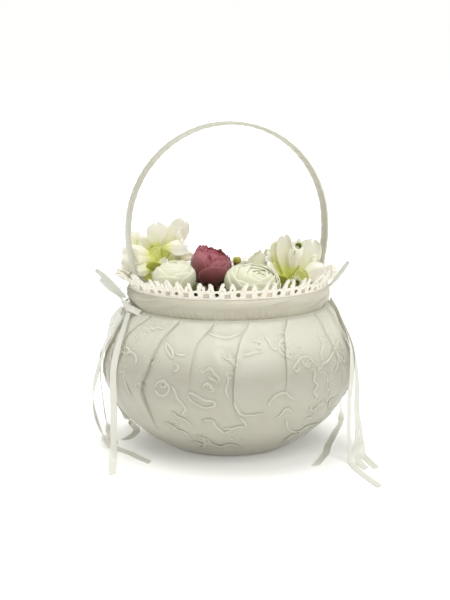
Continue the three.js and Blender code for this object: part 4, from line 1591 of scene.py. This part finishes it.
def petal_paint(name, stops, vein, rough=0.62, sheen=0.25, through=0.12, painted_glow=0.0):
    """Petal fabric: a colour run from foot to tip, mottled, with fine veins and a soft bloom.

    The stops are (place, red, green, blue)."""
    p = Paint(name)
    place = p.place()
    tint = p.add("Attribute", attribute_name="tint").outputs["Fac"]
    mottle = p.noise(place, 120.0, 3.0, 0.6)
    fine = p.noise(p.stretch(place, 1, 1, 0.25), 1400.0, 2.0, 0.6)
    position = p.math("ADD", tint, p.math("MULTIPLY_ADD", mottle, 0.36, -0.18))
    run = p.ramp(position, [(at, rgb(*colour)) for at, *colour in stops])
    colour = p.mix(p.math("MULTIPLY", fine, 0.22), run, rgb(*vein))
    # the emission is painted light: with a strength given, the petal gives off a little light of its own
    p.set(Base_Color=colour, Roughness=p.math("MULTIPLY_ADD", mottle, 0.2, rough - 0.1), Sheen_Weight=sheen,
          Sheen_Roughness=0.5, Subsurface_Weight=through, Subsurface_Radius=(0.003, 0.003, 0.0015),
          Subsurface_Scale=1.0, Normal=p.bump(fine, VEIN_DEPTH), Emission_Color=colour,
          Emission_Strength=painted_glow)
    return p.material


PALE_GREEN = petal_paint("pale_green_petal", [
    (0.0, 176, 186, 92), (0.25, 214, 219, 156), (0.7, 234, 236, 198), (1.0, 243, 242, 217),
], (216, 220, 170))
# painted light: these burgundy petals give off a faint light of their own
BURGUNDY = petal_paint("burgundy_petal", [
    (0.0, 34, 10, 9), (0.22, 104, 40, 40), (0.7, 158, 82, 88), (1.0, 180, 108, 116),
], (116, 48, 56), rough=0.7, sheen=0.4, painted_glow=0.03)
# painted light: these ruffled petals give off a faint light of their own
BURGUNDY_RUFFLE = petal_paint("burgundy_ruffle", [
    (0.0, 78, 16, 28), (0.35, 146, 68, 82), (0.62, 188, 116, 124), (0.84, 196, 120, 132),
    (1.0, 142, 22, 54),
], (136, 40, 64), rough=0.62, sheen=0.35, painted_glow=0.03)
# painted light: these white petals give off a little light of their own
WHITE_PETAL = petal_paint("white_petal", [
    (0.0, 204, 212, 62), (0.15, 222, 226, 122), (0.34, 240, 238, 206), (0.7, 246, 242, 226),
    (1.0, 246, 244, 233),
], (236, 236, 208), painted_glow=0.07)
# painted light: these bell petals give off a little light of their own
BELL_PETAL = petal_paint("bell_petal", [
    (0.0, 58, 78, 22), (0.22, 122, 142, 48), (0.42, 212, 217, 150), (0.66, 240, 238, 220),
    (1.0, 244, 241, 230),
], (214, 218, 170), painted_glow=0.06)
BUD_PETAL = petal_paint("bud_petal", [
    (0.0, 96, 44, 30), (0.5, 140, 92, 40), (0.68, 190, 188, 64), (1.0, 216, 218, 116),
], (150, 150, 50))
STEM_GREEN = petal_paint("stem_green", [
    (0.0, 96, 112, 52), (0.5, 120, 136, 62), (1.0, 150, 162, 84),
], (84, 98, 44), through=0.0)
# painted light: these lime stalks give off a little light of their own
LIME_STALK = petal_paint("lime_stalk", [
    (0.0, 158, 168, 36), (0.5, 194, 202, 62), (1.0, 218, 222, 116),
], (168, 176, 44), painted_glow=0.09)
DARK_SEPAL = petal_paint("dark_sepal", [
    (0.0, 34, 26, 14), (0.5, 58, 40, 22), (1.0, 92, 48, 38),
], (30, 20, 12), through=0.0)


# ---------------------------------------------------------------- flower picks
FLOWERS = {
    "burgundy_ranunculus": ((-14.9, 0, 149.5), (17.2, 17.2, 17.5)),
    "left_ranunculus": ((-54.6, -24.8, 144.6), (17.6, 17.6, 15)),
    "right_ranunculus": ((5.4, -42.4, 141), (23.5, 21, 16)),
    "left_hydrangea": ((-55.5, 25.5, 165), (25, 23.5, 21)),
    "right_hydrangea": ((50.6, -12.6, 149.5), (23.5, 20.5, 18)),
    "back_ranunculus_left": ((-20.5, 43, 128.5), (14.5, 14.5, 12.5)),
    "back_ranunculus_right": ((12.5, 46, 128.5), (16.5, 16.5, 14)),
    "back_hydrangea": ((40, 28, 132), (15.5, 15.5, 13)),
    "bud_pick": ((12, 11.6, 149.5), (3.4, 3.4, 5)),
}
STEM_BOTTOM = 62
STEM_RADIUS = 1.38
CALYX_HEIGHT = 6
CALYX_TUCK = 0.3  # how far the calyx stays clear of the head and the stem
FAN_DEPTH = 60  # how far below the table the stems' lines meet
SEPALS = 6


def make_stem(name, centre, radii, place):
    """A paper-wrapped wire stem, and the calyx that holds the head with its sepals."""
    top = -radii[2] - CALYX_HEIGHT - 2 * CALYX_TUCK
    slant = np.linalg.norm(stem_run(centre)) / (centre[2] + FAN_DEPTH)
    z = np.arange(-(centre[2] - STEM_BOTTOM) * slant, top, 0.9)
    wrap = STEM_RADIUS + 0.09 * np.sin(z * 2.1) ** 6
    stem = Bunch()
    stem.tube(np.stack([0.06 * np.sin(z * 0.3), 0.06 * np.cos(z * 0.23), z], axis=1), wrap, 0.4, sides=12)
    stem.build(name + "_wire_stem", STEM_GREEN, "stem_green", place, [name + "_stem"])
    rng = np.random.default_rng(len(name))
    calyx = Bunch(0.5)
    reach = min(5.0, 0.5 * radii[0])
    z = np.linspace(-radii[2] - CALYX_HEIGHT - CALYX_TUCK, -radii[2] - CALYX_TUCK, 9)
    share = (z - z[0]) / (z[-1] - z[0])
    calyx.tube(np.stack([0 * z, 0 * z, z], axis=1), 2.0 + (reach - 2.4) * share**1.7, 0.25, sides=16)
    for k in range(SEPALS):
        azimuth = 360 * k / SEPALS + rng.uniform(-8, 8)
        high = rng.uniform(46, 62)
        petal, tint = cupped_petal(radii, 1.015, azimuth, 21, 9, high, flare=0.05, ruffle=0.02, rng=rng,
                                   rows=9, columns=7)
        calyx.add(petal, 0.3 + 0.7 * tint)
    paint = DARK_SEPAL if name == "burgundy_ranunculus" else STEM_GREEN
    if "hydrangea" in name:
        paint = LIME_STALK
    calyx.build(name + "_sepals", paint, "stem_green", place, [name + "_calyx"])


def petal_rings(bunch, radii, rings, rng, lean, turned):
    """Rings of cupped petals, each ring a little inside the last and turned on from it."""
    for k, (layer, count, half, low, high) in enumerate(rings):
        for j in range(count):
            azimuth = turned + 41 * k + 360 * j / count + rng.uniform(-8, 8)
            wide = half + rng.uniform(-4, 4)
            top = high + rng.uniform(-4, 4)
            petal, tint = cupped_petal(radii, layer + 0.01 * (j % 2), azimuth, wide, low, top, 0.0, 0.008,
                                       rng, lean=lean)
            bunch.add(petal, tint)


def make_ranunculus(name, seed, rings, turned, lean):
    """A pale ranunculus: rings of petals round a closed heart."""
    centre, radii = FLOWERS[name]
    place = flower_place(name, centre)
    make_stem(name, centre, radii, place)
    globe = Bunch(0.4)
    petal_rings(globe, radii, rings, np.random.default_rng(seed), lean, turned)
    closing_cap(globe, radii, rings[-1][0] - 0.03, lean)
    globe.build(name + "_petals", PALE_GREEN, "pale_green_petal", place, [name + "_head"])


def make_ruffled_ranunculus(name, seed, outer, lean):
    """A burgundy ranunculus: broad dusky petals round a heart of ruffled magenta ones."""
    centre, radii = FLOWERS[name]
    place = flower_place(name, centre)
    make_stem(name, centre, radii, place)
    rng = np.random.default_rng(seed)
    cup = Bunch(0.45)
    for azimuth, half, low, high, layer in outer:
        petal, tint = cupped_petal(radii, layer, azimuth, half, low, high, 0.0, 0.006, rng,
                                   rows=22, columns=19, rise=0.04)
        cup.add(petal, tint)
    cup.build(name + "_petals", BURGUNDY, "burgundy_petal", place, [name + "_head"])
    heart = Bunch(0.35)
    for k, (layer, count, half, high, flare) in enumerate(RUFFLES):
        for j in range(count):
            azimuth = 37 * k + 360 * j / count + rng.uniform(-9, 9)
            top = high + rng.uniform(-6, 6)
            petal, tint = cupped_petal(radii, layer, azimuth, half, 40, top, flare, 0.06, rng,
                                       rows=18, columns=21, lean=lean, rise=0.14)
            heart.add(petal, tint)
    heart.build(name + "_ruffles", BURGUNDY_RUFFLE, "burgundy_petal", place)


# Rings of petals: share of the radius, count, half width, lowest and highest angle.
CLOSED_RINGS = [
    (0.985, 4, 62, 10, 116), (0.96, 4, 60, 20, 130), (0.935, 4, 62, 30, 146), (0.91, 3, 84, 40, 164),
    (0.885, 3, 88, 50, 178),
]
OPEN_RINGS = [
    (0.985, 4, 62, 10, 104), (0.955, 4, 60, 20, 118), (0.92, 4, 60, 30, 130), (0.88, 4, 58, 40, 140),
    (0.84, 4, 60, 50, 149), (0.79, 3, 76, 60, 158), (0.74, 3, 80, 60, 167), (0.69, 3, 88, 60, 178),
]
# Rings of ruffled petals: share of the radius, count, half width, highest angle and flare.
RUFFLES = [
    (0.93, 5, 44, 128, 0.03), (0.84, 5, 46, 137, 0.05), (0.73, 5, 46, 146, 0.06), (0.61, 4, 56, 153, 0.06),
    (0.48, 4, 60, 160, 0.05), (0.33, 3, 76, 168, 0.02), (0.2, 3, 86, 176, 0.0),
]
TO_CAMERA = 250
TO_RIGHT = 340
# Broad outer petals: azimuth, half width, lowest and highest angle, share of the radius.
FRONT_CUP = [
    (TO_CAMERA + 8, 52, 10, 94, 1.0), (TO_CAMERA - 58, 50, 12, 128, 0.97),
    (TO_CAMERA + 72, 44, 12, 100, 0.975), (130, 46, 12, 128, 0.98), (58, 46, 12, 118, 0.97),
    (TO_CAMERA - 16, 44, 20, 116, 0.93), (TO_CAMERA + 42, 44, 20, 108, 0.935), (160, 52, 20, 124, 0.93),
    (90, 52, 20, 116, 0.935), (20, 52, 20, 110, 0.93),
]
BACK_CUP = [
    (40, 50, 10, 104, 1.0), (112, 48, 12, 112, 0.97), (184, 48, 12, 106, 0.99), (256, 48, 12, 112, 0.97),
    (328, 48, 12, 108, 0.985), (76, 52, 20, 120, 0.93), (196, 56, 20, 118, 0.935),
    (316, 56, 20, 121, 0.93),
]
make_ruffled_ranunculus("burgundy_ranunculus", 101, FRONT_CUP, lean_turn(TO_RIGHT, 26))
make_ruffled_ranunculus("back_ranunculus_right", 105, BACK_CUP, lean_turn(60, 10))
make_ranunculus("left_ranunculus", 102, CLOSED_RINGS, 50, lean_turn(TO_RIGHT, 12))
make_ranunculus("right_ranunculus", 103, OPEN_RINGS, -20, lean_turn(TO_CAMERA + 40, 30))
make_ranunculus("back_ranunculus_left", 104, OPEN_RINGS, 0, lean_turn(90, 12))


# Petals that show from the front, from the flower's centre in the basket's directions: foot, tip,
# width, how much the petal looks up, how far its edges curl forward, and how far it is past lime.
SHOWN_PETALS = {
    "left_hydrangea": [
        ((2, -2, -4), (1, -1, 18), 16, 0.2, -0.05, 1),
        ((10, -1, -6), (25, -4, 20), 17, 0.2, 0.06, 1),
        ((4, -10, -1), (23, -19, -1), 15, 0.45, -0.1, 1),
        ((1, -5, -11), (-28, 0, -5), 18, 0.4, -0.06, 1),
        ((1, -6, -22), (2, -5, -1), 15, 0.3, 0.15, 0.25),
        ((-2, -11, -18), (6, -16, -10), 7, 0.7, 0.1, 0.9),
        ((-4, -10, -19), (-18, -9, -18), 13, 0.5, -0.05, 0.6),
        ((-4, -8, -30), (-12, -6, -20), 8, 0.4, 0.1, 0.2),
        ((-1, 6, -8), (-14, 14, 6), 14, 0.4, -0.05, 1),
        ((18, -5, -11), (30, -10, -9), 9, 0.3, -0.05, 0.7),
        ((11, 5, -10), (14, 8, 11), 17, 0.3, 0, 1),
        ((-3, 2, -15), (-27, 6, -16), 14, 0.4, -0.05, 0.9),
    ],
    "right_hydrangea": [
        ((-16, 6, -19), (-20, 13, 10), 31, 0.3, -0.04, 0.5),
        ((-7, -6, -12), (-7, -1, 24), 13, 0.1, 0.28, 0.8),
        ((-6, -2, -8), (-13, 5, 18), 11, 0.15, 0.1, 0.5),
        ((-4, -9, -8), (3, -8, 18), 12, 0.15, -0.08, 1),
        ((8, -5, -12), (18, -3, 19), 20, 0.15, 0.06, 1),
        ((2, -10, -12), (22, -19, -2), 18, 0.5, -0.08, 1),
        ((4, -15, -19), (3, -13, -4), 12, 0.3, 0.2, 0.22),
        ((-7, -6, -16), (-21, 1, -9), 11, 0.5, 0, 0.8),
        ((-1, -7, -20), (-13, 3, 2), 8, 0.4, 0.05, 0.25),
        ((6, 4, -12), (14, 6, 14), 17, 0.3, 0, 0.9),
    ],
}


FACING_CAMERA = np.array([-0.33, -0.92, 0.2])


def shown_petals(head, stalks, place, root, shown, rng):
    """The petals listed for the front of a hydrangea, each with a stalk."""
    for base, tip, width, up, cup, tone in shown:
        base, tip = np.array(base) @ place.matrix, np.array(tip) @ place.matrix
        face = unit(FACING_CAMERA + (0, 0, up)) @ place.matrix
        bend = 0.08 if cup > 0 else -0.08
        petal, tint = free_petal(base, tip, face, width, cup=cup, bend=bend, rng=rng, rows=22, columns=19)
        head.add(petal, tint * tone)
        foot = base - unit(tip - base) * 1.5 - face
        middle = (foot + root) / 2 + rng.uniform(-1, 1, 3)
        stalks.tube(catmull([root, middle, foot], 1.2), 0.7, 0.7)


def floret(head, stalks, radii, root, direction, rng):
    """Four petals round a knob, on a stalk."""
    spot = direction * np.array(radii) * rng.uniform(0.62, 0.72)
    first = unit(np.cross(direction, [0.3, 0.2, 0.93]))
    second = np.cross(direction, first)
    spin = rng.uniform(0, TAU)
    for k in range(4):
        a = spin + TAU * k / 4
        out = first * math.cos(a) + second * math.sin(a)
        reach = rng.uniform(0.56, 0.66) * min(radii)
        tip = spot + out * reach + direction * reach * rng.uniform(0.12, 0.38)
        beyond = np.linalg.norm(tip / np.array(radii)) / 0.99
        tip = tip / max(1.0, beyond)
        petal, tint = free_petal(spot + out * 0.6, tip, direction, reach * 1.35, rng=rng,
                                 rows=11, columns=9)
        head.add(petal, tint)
    knob = catmull([spot - direction, spot + direction * 0.4, spot + direction * 1.6], 0.5)
    stalks.tube(knob, 1.1, 0.95)
    middle = (spot + root) / 2 + rng.uniform(-1.5, 1.5, 3)
    stalks.tube(catmull([root, middle, spot], 1.5), 0.65, 0.6)


def make_hydrangea(name, seed, florets, shown=()):
    """A hydrangea head: the petals that show, and whole florets in the other directions."""
    centre, radii = FLOWERS[name]
    place = flower_place(name, centre)
    make_stem(name, centre, radii, place)
    rng = np.random.default_rng(seed)
    head, stalks = Bunch(0.35), Bunch()
    root = np.array([0, 0, -radii[2] - 0.4])
    shown_petals(head, stalks, place, root, shown, rng)
    for direction in florets:
        floret(head, stalks, radii, root, unit(np.array(direction, float)) @ place.matrix, rng)
    head.build(name + "_petals", WHITE_PETAL, "white_petal", place, [name + "_head"])
    stalks.build(name + "_stalks", LIME_STALK, "stem_green", place)


def spread_directions(count, seed, keep):
    """Even directions over a globe, kept where keep(x, y, z) says."""
    rng = np.random.default_rng(seed)
    k = np.arange(count) + 0.5
    z = 1 - 2 * k / count
    a = k * math.pi * (1 + 5**0.5)
    d = np.stack([np.sqrt(1 - z**2) * np.cos(a), np.sqrt(1 - z**2) * np.sin(a), z], axis=1)
    d = unit(d + rng.uniform(-0.12, 0.12, d.shape))
    return [v for v in d if keep(*v)]


def behind(x, y):
    """Whether a direction looks away from the camera, or only a little towards it."""
    return FACING_CAMERA[0] * x + FACING_CAMERA[1] * y < 0.3


make_hydrangea("left_hydrangea", 111,
               spread_directions(20, 5, lambda x, y, z: -0.75 < z < 0.3 and behind(x, y)),
               SHOWN_PETALS["left_hydrangea"])
make_hydrangea("right_hydrangea", 112,
               spread_directions(18, 6, lambda x, y, z: -0.75 < z < 0.35 and behind(x, y)),
               SHOWN_PETALS["right_hydrangea"])
make_hydrangea("back_hydrangea", 113, spread_directions(16, 7, lambda x, y, z: z > -0.6))

# Rings of the bud's scales: share of the radius, count, half width, lowest and highest angle.
BUD_RINGS = [
    (1.0, 5, 44, 6, 138), (0.84, 4, 55, 20, 150), (0.66, 3, 70, 30, 164), (0.5, 3, 85, 40, 178),
]


def make_bud():
    centre, radii = FLOWERS["bud_pick"]
    place = flower_place("bud_pick", centre)
    make_stem("bud_pick", centre, radii, place)
    rng = np.random.default_rng(121)
    slim = np.array(radii) * 0.95
    bud = Bunch(0.3)
    for k, (layer, count, half, low, high) in enumerate(BUD_RINGS):
        for j in range(count):
            top = high + rng.uniform(-6, 6)
            petal, tint = cupped_petal(slim, layer, 360 * j / count + 37 * k, half, low, top,
                                       0.1 - 0.03 * k, 0.03, rng, rows=12, columns=9)
            bud.add(petal, tint)
    bud.build("bud_scales", BUD_PETAL, "bud_petal", place, ["bud_pick_head"])


BELL_THICKNESS = 0.35


def bell_wall(bell):
    """The bell's shell, flared into five lobes, green inside towards its foot."""
    a = circle(40)
    t = np.linspace(0, 1, 14)[:, None]
    lobe = 0.5 + 0.5 * np.cos(5 * a[None, :])
    r = 1.5 + 1.9 * t**0.8 + 2.4 * smooth(t, 0.62, 1.0) * (0.25 + 0.75 * lobe)
    z = -4.4 + 8.2 * t - 0.7 * smooth(t, 0.8, 1.0) * lobe - 1.8 * smooth(t, 0.6, 1.0) * (1 - lobe)
    shape = level(r, a, z)
    quads, _ = grid(len(t), len(a), wrap_columns=True)
    round_by = np.roll(shape, -1, axis=1) - np.roll(shape, 1, axis=1)
    normal = unit(np.cross(round_by, np.gradient(shape, axis=0))).reshape(-1, 3)
    shell, faces = thicken(shape.reshape(-1, 3), quads, -normal * BELL_THICKNESS)
    outside = np.broadcast_to(0.55 + 0.45 * t, z.shape).ravel()
    inside = np.broadcast_to(smooth(t, 0.35, 1.0) * 0.9, z.shape).ravel()
    bell.append(shell, faces, np.concatenate([outside, inside]))


def make_bell(name, centre, axis):
    """A hollow bell with curled lobes, a deep green throat and a stalk back to the flower head."""
    matrix = stand_up(unit(np.array(axis, float)))
    centre = np.array(centre, float)
    bell = Bunch()
    bell_wall(bell)
    for j in range(3):
        spread = np.array([math.cos(j * 2.1), math.sin(j * 2.1), 0]) * 0.5
        bell.tube(catmull([(0, 0, -3.5), spread * 0.6 + (0, 0, -1), spread + (0, 0, 1.6)], 0.6), 0.3, 0.3)
    head = np.array(FLOWERS["right_hydrangea"][0])
    end = (head - (0, 0, 8) - centre) @ matrix * 0.8
    stalk = [(0, 0, -3.9), (0, 0, -10), (0, 0, -16), (end + (0, 0, -20)) / 2, end]
    bell.tube(catmull(stalk, 1.0), 0.7, 0.45)
    bell.build(name + "_petals", BELL_PETAL, "bell_petal", Place(matrix, centre, "right_hydrangea_pick"),
               [name])


make_bud()
make_bell("bell_floret_upper", (46.6, -37, 167), (-0.2, -0.9, 0.4))
make_bell("bell_floret_lower", (44.6, -38.6, 137), (-0.2, -0.95, 0.25))


# ---------------------------------------------------------------- carried-over CAD nodes
def repaint(name, material):
    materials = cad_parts[name].data.materials
    materials.clear()
    materials.append(material)


def grained(name, light, dark, scale, rough, depth, metallic=0.0):
    p = Paint(name)
    place = p.place()
    grain = p.noise(place, scale, 4.0, 0.6)
    broad = p.noise(place, scale / 14, 2.0)
    share = p.math("MULTIPLY_ADD", grain, 0.6, p.math("MULTIPLY", broad, 0.4))
    colour = p.mix(share, rgb(*light), rgb(*dark))
    p.set(Base_Color=colour, Roughness=p.math("MULTIPLY_ADD", grain, 0.18, rough - 0.09), Metallic=metallic,
          Normal=p.bump(grain, depth))
    return p.material


def foam_cells():
    """Crumbly green foam with fine cells."""
    p = Paint("floral_foam")
    place = p.place()
    cells = p.cells(place, 950.0)
    dust = p.noise(place, 90.0, 4.0, 0.6)
    colour = p.mix(dust, rgb(104, 122, 74), rgb(78, 94, 52))
    colour = p.mix(p.math("MULTIPLY", cells, 0.5), colour, rgb(58, 72, 38))
    p.set(Base_Color=colour, Roughness=0.96, Normal=p.bump(cells, 0.0006))
    return p.material


repaint("base_disc", grained("base_card", (228, 224, 208), (206, 200, 180), 420.0, 0.75, 0.0001))
repaint("bowl_shell", grained("shell_board", (238, 236, 228), (218, 214, 202), 260.0, 0.5, 0.00012))
repaint("handle_core", grained("strap_plastic", (226, 226, 220), (206, 206, 198), 500.0, 0.42, 0.00004))
repaint("foam_block", foam_cells())
rivet_metal = grained("rivet_metal", (196, 190, 172), (150, 142, 122), 900.0, 0.34, 0.00003, metallic=1.0)
repaint("handle_rivet_left", rivet_metal)
repaint("handle_rivet_right", rivet_metal)


# ---------------------------------------------------------------- floor and light
def make_floor():
    bpy.ops.mesh.primitive_plane_add(size=60, location=(0, 0, 0))
    floor = bpy.context.object
    floor.name = "floor"
    p = Paint("floor")
    grain = p.noise(p.place(), 900.0, 2.0)
    p.set(Base_Color=p.mix(grain, rgb(250, 250, 248), rgb(246, 246, 243)), Roughness=0.9,
          Emission_Color=rgb(255, 255, 252), Emission_Strength=0.22)
    floor.data.materials.append(p.material)


def make_sun(name, towards, softness, strength):
    """Soft light from far off in the direction `towards`, even over the whole floor."""
    data = bpy.data.lights.new(name, "SUN")
    data.angle = math.radians(softness)
    data.energy = strength
    light = bpy.data.objects.new(name, data)
    x, y, z = towards
    light.rotation_euler = (math.atan2(math.hypot(x, y), z), 0, math.atan2(x, -y))
    bpy.context.scene.collection.objects.link(light)


# Brightness of the studio from the horizon (0) to straight up (1).
STUDIO_STOPS = ((0.0, 1.0), (0.06, 1.0), (0.1, 0.08), (0.5, 0.1), (0.8, 0.5), (1.0, 1.2))


def make_world():
    """A studio that is white at the horizon, dim above it and bright overhead."""
    world = bpy.data.worlds.new("studio")
    world.use_nodes = True
    tree = world.node_tree
    direction = tree.nodes.new("ShaderNodeTexCoord").outputs["Generated"]
    split = tree.nodes.new("ShaderNodeSeparateXYZ")
    ramp = tree.nodes.new("ShaderNodeValToRGB")
    tree.links.new(direction, split.inputs[0])
    tree.links.new(split.outputs["Z"], ramp.inputs[0])
    tree.links.new(ramp.outputs[0], tree.nodes["Background"].inputs[0])
    fill_ramp(ramp.color_ramp.elements, [(at, (grey, grey, grey * 0.985, 1)) for at, grey in STUDIO_STOPS])
    bpy.context.scene.world = world


make_floor()
make_world()
make_sun("key", (0.08, -0.7, 0.7), 45, 1.0)
make_sun("top", (-0.05, 0.36, 1.4), 60, 1.6)
bpy.context.scene.view_settings.view_transform = "Standard"
